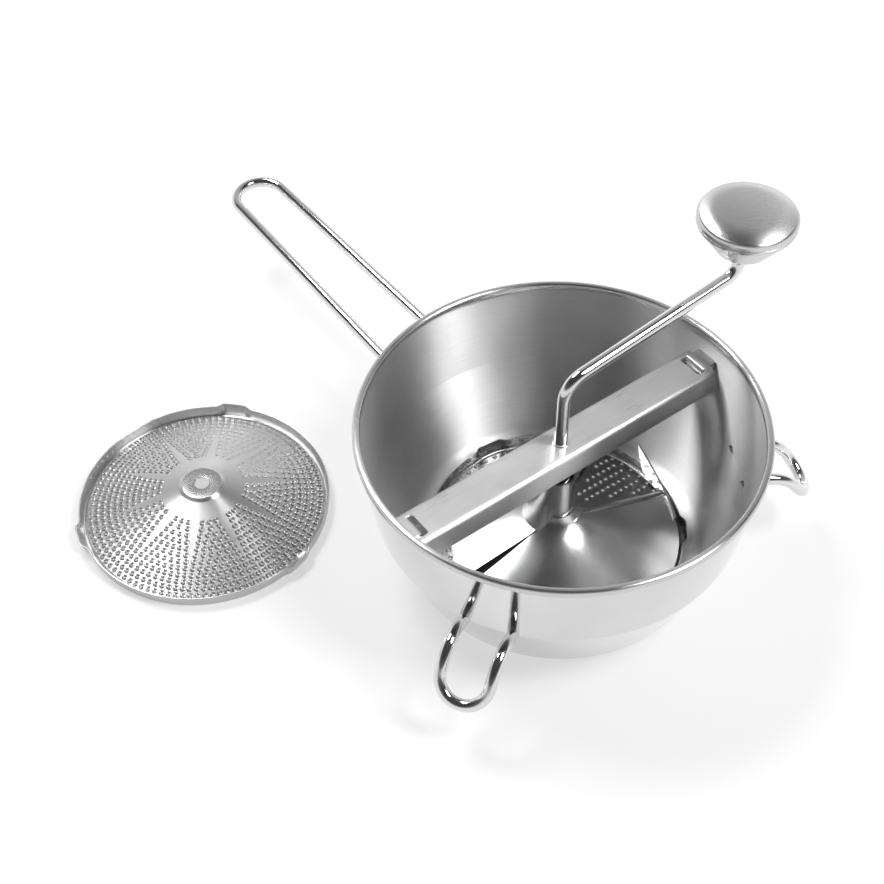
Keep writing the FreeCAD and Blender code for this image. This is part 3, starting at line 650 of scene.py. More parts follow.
BRUSHED_INSIDE = steel("steel_brushed_inside", 0.70, (0.40, 0.48), 0.15,
                       anisotropy=1.0, contrast=0.05)
POLISHED_OUTSIDE = steel("steel_polished_outside", 0.72, (0.05, 0.12), 0.04)
SATIN_BEAD = steel("steel_satin_bead", 0.60, (0.24, 0.32), 0.15, anisotropy=0.8, contrast=0.06)
POLISHED_WIRE = steel("steel_polished_wire", 0.72, (0.05, 0.10), 0.03)
BRUSHED_BAR = steel("steel_brushed_bar", 0.66, (0.26, 0.36), 0.2, BAR_AZIMUTH,
                    anisotropy=0.9, contrast=0.06)
POLISHED_BLADE = steel("steel_polished_blade", 0.62, (0.16, 0.26), 0.06, contrast=0.02)
# The coarse sieve's steel is coloured darker than the spare sieve's: painted shade for its place
# deep in the bowl under the bar.
SHADED_SIEVE_STEEL = steel("steel_sieve", 0.42, (0.20, 0.30), 0.08)
SPARE_STEEL = steel("steel_spare_sieve", 0.54, (0.26, 0.36), 0.05, "ring", SPARE_PLACE[:2],
                    anisotropy=0.8)
# The spare sieve's boss top takes a darker copy of its steel: the lower colour is painted shade,
# and the lower roughness keeps the lamp's highlight off it.
SHADED_BOSS_STEEL = steel("steel_shaded_boss", 0.45, (0.12, 0.16))
# The rolled edge and its fold take a lighter, rougher copy of the blade's steel: the lighter
# colour is a painted highlight, while the roughness spreads the lamps' real highlight along it.
ROLL_HIGHLIGHT_STEEL = steel("steel_roll_highlight", 0.78, (0.34, 0.42), 0.05)
POLISHED_KNOB = steel("steel_polished_knob", 0.64, (0.24, 0.34), 0.08, 0.0,
                      anisotropy=0.8, contrast=0.04)
SPRING_STEEL = steel("steel_spring", 0.5, (0.2, 0.3), 0.1)


# ---------------------------------------------------------------- bowl


def wall_radius(height):
    """The outside radius of the bowl at a height, its bends left out."""
    if height < SHOULDER_HEIGHT:
        return blend(BASE_RADIUS, SHOULDER_RADIUS, height / SHOULDER_HEIGHT)
    top_height = BOWL_HEIGHT - BEAD_HEIGHT / 2
    share = (height - SHOULDER_HEIGHT) / (top_height - SHOULDER_HEIGHT)
    return blend(SHOULDER_RADIUS, RIM_RADIUS - BAND_INSET, share)


def make_bowl():
    """The wall in one turned sheet with its bead rolled outwards at the top."""
    bead_foot = BOWL_HEIGHT - BEAD_HEIGHT
    band = wall_radius(bead_foot)
    outline = profile(
        (OUTLET_RADIUS, 0.0, OUTLET_EDGE_ROUND),
        (BASE_RADIUS, 0.0, BASE_BEND),
        (SHOULDER_RADIUS, SHOULDER_HEIGHT, SHOULDER_BEND),
        (band, bead_foot),
        (RIM_RADIUS, bead_foot, BEAD_OUTER_ROUND),
        (RIM_RADIUS, BOWL_HEIGHT, BEAD_ROUND),
        (RIM_RADIUS - BEAD_WIDTH, BOWL_HEIGHT, BEAD_ROUND),
        (RIM_RADIUS - BEAD_WIDTH, bead_foot, BEAD_INNER_ROUND),
        (band - BOWL_SHEET, bead_foot, BEAD_CREASE),
        (SHOULDER_RADIUS - BOWL_SHEET, SHOULDER_HEIGHT, SHOULDER_BEND - BOWL_SHEET),
        (BASE_RADIUS - BOWL_SHEET, BOWL_SHEET, BASE_BEND - BOWL_SHEET),
        (OUTLET_RADIUS, BOWL_SHEET, OUTLET_EDGE_ROUND),
        step=6.0,
    )
    bowl = lathe("bowl_shell", outline, 288, TURNED_SHARP_ANGLE)
    for material in (POLISHED_OUTSIDE, BRUSHED_INSIDE, SATIN_BEAD):
        bowl.data.materials.append(material)
    outside_slot, inside_slot, bead_slot = range(3)
    for face in bowl.data.polygons:
        outward = Vector((face.center.x, face.center.y, 0)).dot(face.normal)
        base_face = face.normal.z > 0.9 and face.center.z < BASE_FACE_TOP * MM
        face.material_index = inside_slot if outward < 0 or base_face else outside_slot
        if face.center.z > (bead_foot - HAIR) * MM:
            face.material_index = bead_slot
    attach(bowl, "bowl")
    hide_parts("bowl")


# ---------------------------------------------------------------- wire handle and rests


def on_wall(point, direction):
    """Slide a point along a direction until it is WELD_DEPTH inside the outer face."""
    low, high = -WELD_REACH, WELD_REACH
    for _ in range(WELD_HALVINGS):
        middle = (low + high) / 2
        tried = point + direction * middle
        if math.hypot(tried.x, tried.y) > wall_radius(tried.z) - WELD_DEPTH:
            low = middle
        else:
            high = middle
    return point + direction * ((low + high) / 2)


def dense(path, longest=6.0):
    """The path with long runs divided, so that a ring is never far from the next."""
    result = [path[0]]
    for a, b in zip(path, path[1:]):
        parts = max(1, math.ceil((b - a).length / longest))
        result.extend(a.lerp(b, (k + 1) / parts) for k in range(parts))
    return result


def turn_path(path, azimuth):
    """A path turned about Z."""
    turn = Quaternion((0, 0, 1), math.radians(azimuth))
    return [turn @ p for p in path]


def make_handle():
    """The long loop: two legs that close in from the wall to one round end."""
    root = SHOULDER_RADIUS - WIRE_RADIUS
    tip = HANDLE_END_CENTRE + HANDLE_END_BEND
    slope = HANDLE_RISE / (tip - root)
    lean = math.asin((HANDLE_SPREAD - HANDLE_END_BEND) / (HANDLE_END_CENTRE - root))
    end_y = HANDLE_END_BEND / math.cos(lean) - (tip - HANDLE_END_CENTRE) * math.tan(lean)

    def at(x, y):
        return spot(x, y, HANDLE_ROOT_HEIGHT + slope * (x - root))

    start_y = end_y + (tip - root) * math.tan(lean)
    bend = HANDLE_END_BEND - HAIR
    corners = [(at(root, start_y), 0), (at(tip, end_y), bend), (at(tip, -end_y), bend),
               (at(root, -start_y), 0)]
    path = turn_path(dense(rounded(corners, step=6.0), 12.0), HANDLE_AZIMUTH)
    piece = tube("handle_wire", path, WIRE_RADIUS, WIRE_SIDES, on_wall)
    dress(piece, POLISHED_WIRE, "bowl", "steel_wire", "handle_loop")


def make_rest(name, azimuth):
    """A short loop that rises from the wall, bends over and hangs down outside it."""
    root = SHOULDER_RADIUS - BOWL_SHEET
    lift = math.radians(REST_LIFT)
    drop = math.radians(REST_DROP)
    half_turn = (lift + drop) / 2
    tangent = REST_BEND * math.tan(half_turn)
    up_run = Vector((math.cos(lift), 0, math.sin(lift)))
    down_run = Vector((math.cos(drop), 0, -math.sin(drop)))

    def leg(y):
        first = spot(root, y, REST_ROOT_HEIGHT)
        crest = first + up_run * tangent
        end = crest + down_run * (tangent + REST_TAIL + REST_SPREAD)
        return first - up_run * WIRE_RADIUS, crest, end

    start, crest, end = leg(REST_SPREAD)
    start_r, crest_r, end_r = leg(-REST_SPREAD)
    bend = REST_SPREAD - HAIR
    corners = [(start, 0), (crest, REST_BEND), (end, bend),
               (end_r, bend), (crest_r, REST_BEND), (start_r, 0)]
    path = turn_path(dense(rounded(corners, step=5.0), 4.0), azimuth)
    piece = tube("rest_wire_" + name, path, WIRE_RADIUS, WIRE_SIDES, on_wall)
    dress(piece, POLISHED_WIRE, "bowl", "steel_wire", "rest_loop_" + name)


# ---------------------------------------------------------------- crossbar and catches


def extrude_section(name, section, low, high, axis):
    """A flat closed section drawn out from low to high along X, Y or Z."""
    count = len(section)
    order = {"X": (2, 0, 1), "Y": (0, 2, 1), "Z": (0, 1, 2)}[axis]
    points = []
    for end in (low, high):
        for across, up in section:
            points.append(spot(*((across, up, end)[i] for i in order)))
    faces = [tuple(range(count)), tuple(range(count, 2 * count))]
    for j in range(count):
        k = (j + 1) % count
        faces.append((j, k, count + k, count + j))
    return new_piece(name, points, faces)


def make_crossbar():
    """The channel with its bends and its two hook slots."""
    low = BAR_TOP - BAR_DEPTH
    inside = BAR_HALF_WIDTH - BAR_SHEET
    section = profile(
        (-BAR_HALF_WIDTH, low),
        (-inside, low),
        (-inside, BAR_TOP - BAR_SHEET, BAR_BEND - BAR_SHEET),
        (inside, BAR_TOP - BAR_SHEET, BAR_BEND - BAR_SHEET),
        (inside, low),
        (BAR_HALF_WIDTH, low),
        (BAR_HALF_WIDTH, BAR_TOP, BAR_BEND),
        (-BAR_HALF_WIDTH, BAR_TOP, BAR_BEND),
        step=10.0,
    )
    bar = extrude_section("crossbar_channel", section, -BAR_HALF_LENGTH, BAR_HALF_LENGTH, "X")
    for side in (-1, 1):
        middle = side * (SLOT_INNER_END + SLOT_LENGTH / 2)
        near, far = middle - SLOT_LENGTH / 2, middle + SLOT_LENGTH / 2
        edge = profile(
            (near, -SLOT_WIDTH / 2, SLOT_CORNER),
            (far, -SLOT_WIDTH / 2, SLOT_CORNER),
            (far, SLOT_WIDTH / 2, SLOT_CORNER),
            (near, SLOT_WIDTH / 2, SLOT_CORNER),
            step=15.0,
        )
        cutter = extrude_section("slot_cutter", edge, BAR_TOP - SLOT_CUT, BAR_TOP + SLOT_CUT, "Z")
        carve = bar.modifiers.new("slot", "BOOLEAN")
        carve.operation = "DIFFERENCE"
        carve.solver = "EXACT"
        carve.object = cutter
        settle(bar)
        bpy.data.objects.remove(cutter)
    soften(bar, BAR_EDGE)
    turn_piece(bar, BAR_AZIMUTH)
    dress(bar, BRUSHED_BAR, "crossbar", "steel_pressed", "crossbar")


def make_catch(name, azimuth):
    """A strip up the wall, level over the bar's end and hooked down into its slot."""
    sheet = CATCH_SHEET
    over = BAR_TOP + sheet
    under = BAR_TOP + HAIR
    foot_wall = wall_radius(CATCH_FOOT) - BOWL_SHEET
    over_wall = wall_radius(over) - BOWL_SHEET
    section = profile(
        (CATCH_TIP, over - CATCH_HOOK, CATCH_EDGE_ROUND),
        (CATCH_TIP + sheet, over - CATCH_HOOK, CATCH_EDGE_ROUND),
        (CATCH_TIP + sheet, under, CATCH_INNER_BEND),
        (over_wall - sheet - CATCH_BACK_GAP, under, CATCH_INNER_BEND),
        (foot_wall - sheet, CATCH_FOOT),
        (foot_wall, CATCH_FOOT),
        (over_wall, over, CATCH_WALL_BEND),
        (CATCH_TIP, over, CATCH_TIP_BEND),
        step=10.0,
    )
    catch = extrude_section(name + "_strip", section, -CATCH_WIDTH / 2, CATCH_WIDTH / 2, "Y")
    # the strip's back follows the round of the wall
    for vertex in catch.data.vertices:
        here = wall_radius(vertex.co.z / MM) - BOWL_SHEET - CATCH_WALL_GAP
        beyond = vertex.co.x / MM - (here - CATCH_SKIN)
        if beyond > 0:
            wall = math.sqrt(here ** 2 - (vertex.co.y / MM) ** 2)
            vertex.co.x = (wall - CATCH_SKIN + min(beyond, CATCH_SKIN)) * MM
    soften(catch)
    turn_piece(catch, azimuth)
    dress(catch, BRUSHED_BAR, "bowl", "steel_pressed", name)


# ---------------------------------------------------------------- crank, knob, spring, sleeve


def make_crank():
    """The one bent rod: upright, along the arm and up again through the knob."""
    corners = [
        (spot(0, 0, ROD_FOOT), 0),
        (spot(0, 0, ARM_ROOT_HEIGHT), ARM_ROOT_BEND),
        (spot(CRANK_REACH, 0, ARM_END_HEIGHT), ARM_END_BEND),
        (spot(CRANK_REACH, 0, ROD_TOP), 0),
    ]
    path = turn_path(dense(rounded(corners, step=5.0), 8.0), CRANK_AZIMUTH)
    rod = tube("crank_wire", path, ROD_RADIUS, 40)
    dress(rod, POLISHED_WIRE, "crank", "steel_rod", "crank_rod")


def make_knob():
    """The two shells of the knob, with a fine seam between them."""
    place = tuple(polar(CRANK_REACH, CRANK_AZIMUTH, KNOB_SEAM_HEIGHT))
    wall = KNOB_WALL
    floor = -KNOB_NECK_DEPTH + wall
    base = lathe("knob_lower", profile(
        (KNOB_BORE + KNOB_LINER, -KNOB_NECK_DEPTH, KNOB_NECK_EDGE),
        (KNOB_NECK_RADIUS, -KNOB_NECK_DEPTH, KNOB_NECK_BEND),
        (KNOB_RADIUS, -KNOB_FLANK_DEPTH, KNOB_FLANK_BEND),
        (KNOB_RADIUS, -KNOB_SEAM_GAP, KNOB_SEAM_ROUND),
        (KNOB_RADIUS - wall, -KNOB_SEAM_GAP),
        (KNOB_RADIUS - wall, -KNOB_FLANK_DEPTH, KNOB_FLANK_BEND - wall),
        (KNOB_NECK_RADIUS - wall, floor),
        (KNOB_COLUMN_RADIUS, floor),
        (KNOB_COLUMN_RADIUS, KNOB_COLUMN_TOP),
        (KNOB_BORE + KNOB_LINER, KNOB_COLUMN_TOP),
    ), 128, SHELL_SHARP_ANGLE, place)
    dress(base, POLISHED_KNOB, "knob", "steel_knob", "knob_base")
    cap = lathe("knob_upper", profile(
        (KNOB_RADIUS - wall, HAIR),
        (KNOB_RADIUS, HAIR, CAP_SEAM_ROUND),
        (KNOB_RADIUS, CAP_EDGE_HEIGHT, CAP_EDGE_BEND),
        (DOME_RADIUS, DOME_HEIGHT, DOME_BEND),
        (0.0, CAP_HEIGHT),
        (0.0, CAP_HEIGHT - wall),
        (DOME_RADIUS, DOME_HEIGHT - wall),
        (KNOB_RADIUS - wall, CAP_EDGE_HEIGHT - wall),
        step=4.0,
    ), 128, SHELL_SHARP_ANGLE, place)
    dress(cap, POLISHED_KNOB, "knob", "steel_knob", "knob_cap")


def make_spring():
    """The coil from the hub's washer up to the bar's."""
    steps = SPRING_STEPS * SPRING_TURNS
    path = []
    for k in range(steps + 1):
        height = blend(SPRING_FOOT, SPRING_TOP, k / steps)
        path.append(polar(SPRING_RADIUS, 360.0 / SPRING_STEPS * k, height))
    spring = tube("spring_coil", path, SPRING_WIRE, 12)
    dress(spring, SPRING_STEEL, "crossbar", "steel_spring", "pressure_spring")
    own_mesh(spring)


def make_sleeve():
    """The spring's cover, drawn out of the wing's sheet in one sweep and cut open in front."""
    foot = BLADE_FOOT + BLADE_SHEET - SLEEVE_SINK

    def surface(u, v):
        azimuth = 360.0 * u
        if v > SLEEVE_SWEEP:
            share = (v - SLEEVE_SWEEP) / SLEEVE_STRAIGHT
            return polar(SLEEVE_RADIUS, azimuth, blend(COLLAR_TOP, SLEEVE_TOP, share))
        joined = ease((azimuth - JOIN_START) / JOIN_START_FADE)
        joined *= 1 - ease((azimuth - JOIN_END) / JOIN_END_FADE)
        if azimuth > 180:
            cut = ease((azimuth - SLEEVE_CUT) / SLEEVE_CUT_FADE)
        else:
            cut = 1 - ease((azimuth - SLEEVE_CUT_END) / SLEEVE_END_FADE)
        opened = blend(0.0, SLEEVE_OPENING, cut)
        turn = math.pi / 2 * v / SLEEVE_SWEEP
        out = COLLAR_REACH * joined * (1 - math.sin(turn))
        low = blend(foot + opened, COLLAR_FOOT, joined) + COLLAR_SLOPE * COLLAR_REACH * joined
        height = COLLAR_TOP - (COLLAR_TOP - low) * math.cos(turn) - COLLAR_SLOPE * out
        return polar(SLEEVE_RADIUS + out, azimuth, height)

    rows, columns = 40, 144
    points, faces = [], []
    for i in range(columns):
        for side in (0.0, SLEEVE_SHEET):
            for j in range(rows + 1):
                point = surface(i / columns, j / rows)
                shrink = 1 - side / math.hypot(point.x, point.y)
                points.append(spot(point.x * shrink, point.y * shrink, point.z))
    ring = list(range(rows + 1)) + list(range(2 * rows + 1, rows, -1))
    count = len(ring)
    for i in range(columns):
        here, there = i * count, (i + 1) % columns * count
        for j in range(count):
            a, b = ring[j], ring[(j + 1) % count]
            faces.append((here + a, there + a, there + b, here + b))
    sleeve = new_piece("spring_cover", points, faces, SHELL_SHARP_ANGLE)
    dress(sleeve, POLISHED_BLADE, "crank", "steel_blade", "spring_sleeve")


# ---------------------------------------------------------------- blade


def roll_ends():
    """The two ends of the rolled edge's centre line."""
    along = polar(1, ROLL_AZIMUTH)
    aside = polar(ROLL_OFFSET, ROLL_AZIMUTH - 90)
    inner = along * ROLL_INNER_END + aside + spot(0, 0, ROLL_INNER_HEIGHT)
    outer = along * ROLL_OUTER_END + aside + spot(0, 0, ROLL_OUTER_HEIGHT)
    return inner, outer


def neck(azimuth):
    """Where a wing's or the plate's sheet starts, at the blade's core."""
    return polar(BLADE_CORE - CORE_LAP, azimuth, BLADE_FOOT + BLADE_SHEET + CORE_RISE)


def neck_flare(v):
    """How far the sheet stands off the straight line from the core to its edge."""
    flare = math.exp(-v * FLARE_FALL)
    return FLARE_HEIGHT * flare - CORE_RISE * (1 - v) * (1 - flare)


def make_blade():
    """The plate, the wing and the fin of one sheet, with the rolled edge and its fold."""
    inner_roll, outer_roll = roll_ends()
    end_azimuth = 360 + math.degrees(math.atan2(outer_roll.y, outer_roll.x))
    under_roll = spot(0, 0, -ROLL_LAP)

    def plate(u, v):
        """Sweeps from under the wing round to the ridge."""
        azimuth = blend(PLATE_START, end_azimuth, u)
        bent = ease((azimuth - PLATE_END) / (end_azimuth - PLATE_END))
        inner = neck(azimuth).lerp(inner_roll + under_roll, bent)
        outer = polar(PLATE_RADIUS, azimuth, PLATE_EDGE_HEIGHT + BLADE_SHEET)
        outer = outer.lerp(outer_roll + under_roll, bent * bent)
        point = inner.lerp(outer, v)
        point.z += (1 - bent) * neck_flare(v)
        return point

    plate_piece = thick_grid("plate", plate, 110, 40, BLADE_SHEET)

    def wing(u, v):
        """Rises a little from its low end to its tip."""
        azimuth = blend(WING_START, WING_END, u)
        radius = blend(WING_LOW_RADIUS, WING_TIP_RADIUS, u ** 2)
        height = blend(WING_LOW_HEIGHT, WING_TIP_HEIGHT, u) + BLADE_SHEET
        inner = neck(blend(WING_START, WING_INNER_END, u))
        point = inner.lerp(polar(radius, azimuth, height), v)
        point.z += neck_flare(v)
        return point

    wing_piece = thick_grid("wing", wing, 80, 36, BLADE_SHEET)

    def fin(u, v):
        """Stands up at the rim and ends in a tip clear of the plate."""
        azimuth = blend(FIN_START, FIN_END, u)
        low = PLATE_EDGE_HEIGHT
        high = blend(FIN_LOW_HEIGHT, FIN_TIP_HEIGHT, u ** FIN_CURVE)
        rise = max(0.0, (u - FIN_FOOT_SHARE) / FIN_RISE_SHARE) ** 2
        bottom = blend(low, high - BLADE_SHEET, rise)
        height = blend(bottom, high, v)
        return polar(FIN_RADIUS + FIN_LEAN * (height - low), azimuth, height)

    fin_piece = thick_grid("fin", fin, 48, 8, BLADE_SHEET)
    corners = [(outer_roll, 0), (inner_roll, ROLL_BEND)]
    corners += [(polar(radius, azimuth, height), 0) for radius, azimuth, height in FOLD]
    path = dense(rounded(corners), 3.0)
    fold_piece = tube("fold", path, ROLL_RADIUS, 28, end_radius=FOLD_END)
    # the rolled edge and its fold take the lighter steel of slot 1, a painted highlight
    for face in fold_piece.data.polygons:
        face.material_index = 1
    blade = join("blade_sheet", [plate_piece, wing_piece, fin_piece, fold_piece])
    soften(blade, BLADE_EDGE)
    dress(blade, POLISHED_BLADE, "crank", "steel_blade", "blade")
    blade.data.materials.append(ROLL_HIGHLIGHT_STEEL)


# ---------------------------------------------------------------- sieves


def arm_half_width(radius, first, arm):
    """Half the width of the plain arm between two sectors, which tapers outwards."""
    return arm * (1 - ease((radius - first) / ARM_FADE)) + HOLE_WEB


def rim_row(radius, middle, count):
    """The centres of the closed ring of holes next to the rim."""
    return [polar(radius, middle + 360.0 * k / count) for k in range(count)]


def sector_grid(middle, radial, across, first, last, base, arm):
    """The centres of a sieve's holes in straight rows across each sector."""
    centres = []
    half_sector = 180.0 / SECTORS
    for sector in range(SECTORS):
        azimuth = middle + 360.0 * sector / SECTORS
        for row in range(math.ceil((last - first) / radial)):
            out = first + row * radial
            for column in range(-COLUMN_REACH, COLUMN_REACH + 1):
                aside = column * across + across / 2
                radius = math.hypot(out, aside)
                off = half_sector - abs(math.degrees(math.atan2(aside, out)))
                room = radius * math.sin(math.radians(off))
                clear = base + arm_half_width(radius, first, arm)
                if radius < last - 2 * base - ROW_GAP and off > 0 and room > clear:
                    centres.append(polar(1, azimuth) * out + polar(1, azimuth + 90) * aside)
    return centres


def sector_arcs(middle, radial, across, first, last, base, arm):
    """The centres of a sieve's holes on arcs that fill each sector between the arms."""
    centres = []
    for sector in range(SECTORS):
        azimuth = middle + 360.0 * sector / SECTORS
        for row in range(round((last - first) / radial)):
            out = first + row * radial
            clear = base + arm_half_width(out, first, arm)
            half = 180.0 / SECTORS - math.degrees(clear / out)
            count = int(2 * math.radians(half) * out / across) + 1
            for column in range(count):
                share = column / (count - 1) if count > 1 else 0.5
                centres.append(polar(out, azimuth + blend(-half, half, share)))
    return centres


def cone_at(radius):
    """The height of the sieve's cone at a radius."""
    share = (radius - CONE_INNER_RADIUS) / (CONE_OUTER_RADIUS - CONE_INNER_RADIUS)
    return blend(CONE_HEIGHT, CONE_FOOT_HEIGHT, share)


def perforated_disc(name, centres, rings, under, place, ear, sides=10):
    """A pressed sieve whose holes stand up in burrs.

    rings and under are (radius, lift) from a burr's foot inwards, above and below.
    """
    segments = DISC_SEGMENTS
    inner_edge, outer_edge = PERFORATED_FROM, CONE_OUTER_RADIUS - CONE_EDGE_GAP
    sheet = DISC_SHEET

    def bulge(radius, height, azimuth):
        turns = [azimuth - ear + 180 + 360 / EAR_COUNT * k for k in range(EAR_COUNT)]
        off = min(abs(turn % 360 - 180) for turn in turns)
        window = 1 - ease((off - EAR_HALF_ANGLE) / EAR_FADE)
        lift = ease((radius - DISC_FOOT_RADIUS) / EAR_LIFT_RUN)
        reach = (EAR_RADIUS - DISC_RIM_RADIUS) * window * lift
        return radius + reach * (EAR_FOOT_SHARE + EAR_RISE_SHARE * height / DISC_RIM_HEIGHT)

    middle = profile(
        (inner_edge, cone_at(inner_edge)),
        (CONE_INNER_RADIUS, CONE_HEIGHT, CONE_TOP_BEND),
        (BOSS_RADIUS, BOSS_HEIGHT, BOSS_BEND),
        (DISC_HOLE_RADIUS, BOSS_HEIGHT, HOLE_EDGE_ROUND),
        (DISC_HOLE_RADIUS, BOSS_HEIGHT - sheet, HOLE_INNER_ROUND),
        (BOSS_RADIUS, BOSS_HEIGHT - sheet, BOSS_INNER_BEND),
        (CONE_INNER_RADIUS, CONE_HEIGHT - sheet, CONE_TOP_INNER_BEND),
        (inner_edge, cone_at(inner_edge) - sheet),
    )
    rim = profile(
        (outer_edge, cone_at(outer_edge)),
        (DISC_FOOT_RADIUS, sheet, DISC_FOOT_BEND),
        (DISC_BASE_RADIUS - sheet, sheet, DISC_FOOT_BEND),
        (DISC_RIM_RADIUS - sheet - DISC_RIM_FLARE, DISC_RIM_HEIGHT, DISC_EDGE_ROUND),
        (DISC_RIM_RADIUS, DISC_RIM_HEIGHT, DISC_EDGE_ROUND),
        (DISC_BASE_RADIUS, 0.0, DISC_CORNER_BEND),
        (DISC_FOOT_RADIUS - sheet / 2, 0.0, DISC_UNDER_BEND),
        (outer_edge, cone_at(outer_edge) - sheet),
    )
    points, faces = strip(middle, segments, None, False)
    more, more_faces = strip(rim, segments, bulge, False)
    faces += [tuple(i + len(points) for i in face) for face in more_faces]
    points += more

    flat, owner, loops = [], [], []
    for loop_radius in (inner_edge, outer_edge):
        loops.append(range(len(flat), len(flat) + segments))
        for i in range(segments):
            flat.append(polar(loop_radius, 360.0 * i / segments))
            owner.append(-len(loops))
    for index, centre in enumerate(centres):
        loops.append(range(len(flat), len(flat) + sides))
        for k in range(sides):
            flat.append(centre + polar(rings[0][0], 360.0 * (k + 0.5) / sides))
            owner.append(index)
    edges = [(a, b) for loop in loops for a, b in zip(loop, list(loop)[1:] + [loop[0]])]
    result = delaunay_2d_cdt([v.to_2d() for v in flat], edges, [], 0, 1e-6, True)
    source = [ids[0] for ids in result[3]]
    web = []
    for face in result[2]:
        corners = [source[i] for i in face]
        owners = {owner[i] for i in corners}
        if len(owners) > 1 or owners == {-2}:
            web.append(corners)

    def on_cone(point, lift):
        return spot(point.x, point.y, cone_at(math.hypot(point.x, point.y)) + lift)

    top = len(points)
    points += [on_cone(v, 0.0) for v in flat]
    low = len(points)
    points += [on_cone(v, -sheet) for v in flat]
    faces += [tuple(top + i for i in corners) for corners in web]
    faces += [tuple(low + i for i in corners) for corners in web]
    for index, centre in enumerate(centres):
        start = loops[index + 2][0]
        ladder = [[top + start + k for k in range(sides)]]
        for radius, lift in rings[1:] + [(r, h - sheet) for r, h in reversed(under)]:
            ladder.append(range(len(points), len(points) + sides))
            ring = [polar(radius, 360.0 * (k + 0.5) / sides) for k in range(sides)]
            points += [on_cone(centre + corner, lift) for corner in ring]
        ladder.append([low + start + k for k in range(sides)])
        for one, two in zip(ladder, ladder[1:]):
            for k in range(sides):
                n = (k + 1) % sides
                faces.append((one[k], one[n], two[n], two[k]))
    piece = new_piece(name, points, faces, SIEVE_SHARP_ANGLE)
    piece.data.transform(Matrix.Translation(Vector(place) * MM))
    return piece


def make_discs():
    """The coarse sieve in the bowl and the fine one beside it."""
    coarse = sector_grid(44.0, radial=5.2, across=6.3, first=25.4, last=73.0, base=1.75, arm=1.6)
    coarse += rim_row(73.0, 44.0, 63)
    sieve = perforated_disc("sieve_coarse", coarse, COARSE_BURR, COARSE_UNDER,
                            SIEVE_PLACE, SIEVE_EAR, 12)
    # the coarse sieve takes the darker steel, painted shade
    dress(sieve, SHADED_SIEVE_STEEL, "bowl", "steel_sieve", "sieve_disc")
    fine = sector_arcs(31.5, radial=4.1, across=4.2, first=27.8, last=72.9, base=1.95, arm=2.3)
    fine += rim_row(72.9, 31.5, 102)
    spare = perforated_disc("sieve_fine", fine, FINE_BURR, FINE_UNDER, SPARE_PLACE, SPARE_EAR)
    dress(spare, SPARE_STEEL, "spare_disc", "steel_sieve", "spare_disc")
    spare.data.materials.append(SHADED_BOSS_STEEL)
    # the boss top takes the darker steel of slot 1, painted shade
    centre = Vector(SPARE_PLACE) * MM
    for face in spare.data.polygons:
        if (face.center - centre).to_2d().length < (BOSS_RADIUS - BOSS_MARGIN) * MM:
            face.material_index = 1


# ---------------------------------------------------------------- camera, floor and light


def make_camera():
    """The camera as it was fitted to the photo."""
    camera = bpy.data.cameras.new("camera")
    camera.sensor_width = SENSOR
    camera.lens = FOCAL_PIXELS / PHOTO_PIXELS * SENSOR
    camera.clip_start = 0.01
    camera.clip_end = 20.0
    holder = bpy.data.objects.new("camera", camera)
    look = Matrix.Rotation(math.radians(90 - CAMERA_DOWN), 4, "X")
    roll = Matrix.Rotation(math.radians(CAMERA_ROLL), 4, "Z")
    holder.matrix_world = Matrix.Translation(Vector(CAMERA_PLACE) * MM) @ look @ roll
    bpy.context.scene.collection.objects.link(holder)
    bpy.context.scene.camera = holder


def make_floor():
    """A white floor that glows in reflections and, far off, to the camera."""
    mesh = bpy.data.meshes.new("floor")
    corners = [(x * FLOOR_REACH, y * FLOOR_REACH, 0)
               for x, y in ((-1, -1), (1, -1), (1, 1), (-1, 1))]
    mesh.from_pydata(corners, [], [(0, 1, 2, 3)])
    floor = bpy.data.objects.new("floor", mesh)
    bpy.context.scene.collection.objects.link(floor)
    build = Nodes("floor_white")
    build.shader.inputs["Base Color"].default_value = (FLOOR_WHITE, FLOOR_WHITE, FLOOR_WHITE, 1)
    build.shader.inputs["Roughness"].default_value = 0.8
    build.shader.inputs["Specular IOR Level"].default_value = 0.1
    glow = build.add("ShaderNodeEmission")
    rays = build.add("ShaderNodeLightPath")
    axes = build.place()[1]
    away = build.spread(build.length(axes[0], axes[1]), FLOOR_GLOW, 1.0, GLOW_NEAR, GLOW_FAR)
    direct = build.math("MULTIPLY", rays.outputs["Is Camera Ray"], away)
    mirrored = build.math("MULTIPLY", rays.outputs["Is Glossy Ray"], FLOOR_GLOW)
    seen = build.math("MAXIMUM", direct, mirrored)
    mix = build.add("ShaderNodeMixShader")
    build.link(seen, mix.inputs[0])
    build.link(build.shader.outputs[0], mix.inputs[1])
    build.link(glow.outputs[0], mix.inputs[2])
    build.link(mix.outputs[0], build.tree.nodes["Material Output"].inputs["Surface"])
    mesh.materials.append(build.material)


def softbox(name, azimuth, height_angle, distance, width, depth, power):
    """An area light seen from the bowl at an azimuth and a height angle."""
    lamp = bpy.data.lights.new(name, "AREA")
    lamp.shape = "RECTANGLE"
    lamp.size = width
    lamp.size_y = depth
    lamp.energy = power
    lift = math.radians(height_angle)
    place = polar(distance * math.cos(lift), azimuth, distance * math.sin(lift))
    holder = bpy.data.objects.new(name, lamp)
    aim = (-place).to_track_quat("-Z", "Y").to_matrix().to_4x4()
    holder.matrix_world = Matrix.Translation(place) @ aim
    bpy.context.scene.collection.objects.link(holder)


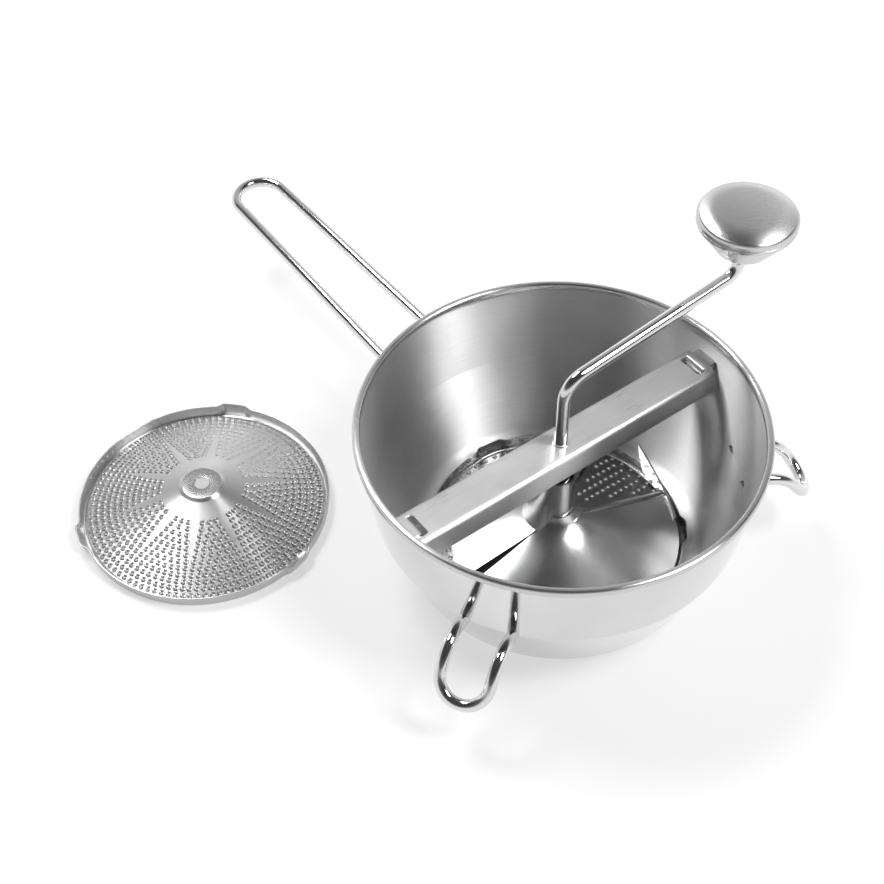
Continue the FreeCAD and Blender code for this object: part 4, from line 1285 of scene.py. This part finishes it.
def make_light():
    """A white surround below, a dim ceiling that is lighter at the back, and softboxes."""
    world = bpy.data.worlds.new("studio")
    bpy.context.scene.world = world
    world.use_nodes = True
    tree = world.node_tree

    def ramp(source, steps):
        node = tree.nodes.new("ShaderNodeValToRGB")
        tree.links.new(source, node.inputs["Fac"])
        elements = node.color_ramp.elements
        for element, (place, value) in zip(elements, (steps[0], steps[-1])):
            element.position = place
            element.color = (value, value, value, 1)
        for place, value in steps[1:-1]:
            elements.new(place).color = (value, value, value, 1)
        return node.outputs["Color"]

    coordinates = tree.nodes.new("ShaderNodeTexCoord")
    split = tree.nodes.new("ShaderNodeSeparateXYZ")
    tree.links.new(coordinates.outputs["Generated"], split.inputs[0])
    rise = ramp(split.outputs["Z"], CEILING)
    back = ramp(split.outputs["Y"], BACK)
    add = tree.nodes.new("ShaderNodeMix")
    add.data_type = "RGBA"
    add.blend_type = "ADD"
    add.inputs["Factor"].default_value = 1.0
    tree.links.new(rise, add.inputs["A"])
    tree.links.new(back, add.inputs["B"])
    path = tree.nodes.new("ShaderNodeLightPath")
    mix = tree.nodes.new("ShaderNodeMix")
    mix.data_type = "RGBA"
    mix.inputs["B"].default_value = (1, 1, 1, 1)
    tree.links.new(path.outputs["Is Camera Ray"], mix.inputs["Factor"])
    tree.links.new(add.outputs["Result"], mix.inputs["A"])
    tree.links.new(mix.outputs["Result"], tree.nodes["Background"].inputs["Color"])
    softbox("softbox_left", azimuth=136, height_angle=57, distance=1.95,
            width=0.8, depth=0.5, power=21)
    softbox("softbox_right", azimuth=342, height_angle=56, distance=1.9,
            width=0.5, depth=0.8, power=24)


# ---------------------------------------------------------------- assembly

make_bowl()
make_handle()
for rest_name, rest_azimuth in REST_AZIMUTHS.items():
    make_rest(rest_name, rest_azimuth)
make_crossbar()
make_catch("bar_catch_right", BAR_AZIMUTH)
make_catch("bar_catch_left", BAR_AZIMUTH + 180)
make_crank()
make_knob()
make_spring()
make_sleeve()
make_blade()
make_discs()

PLAIN = {
    "shaft_bush": BRUSHED_BAR, "upper_washer": BRUSHED_BAR, "lower_washer": BRUSHED_BAR,
    "blade_hub": POLISHED_BLADE, "knob_bush": BRUSHED_BAR, "knob_retainer": BRUSHED_BAR,
}
for node_name, node_material in PLAIN.items():
    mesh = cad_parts[node_name].data
    mesh.materials.clear()
    mesh.materials.append(node_material)

make_camera()
make_floor()
make_light()
bpy.context.scene.view_settings.view_transform = "Standard"
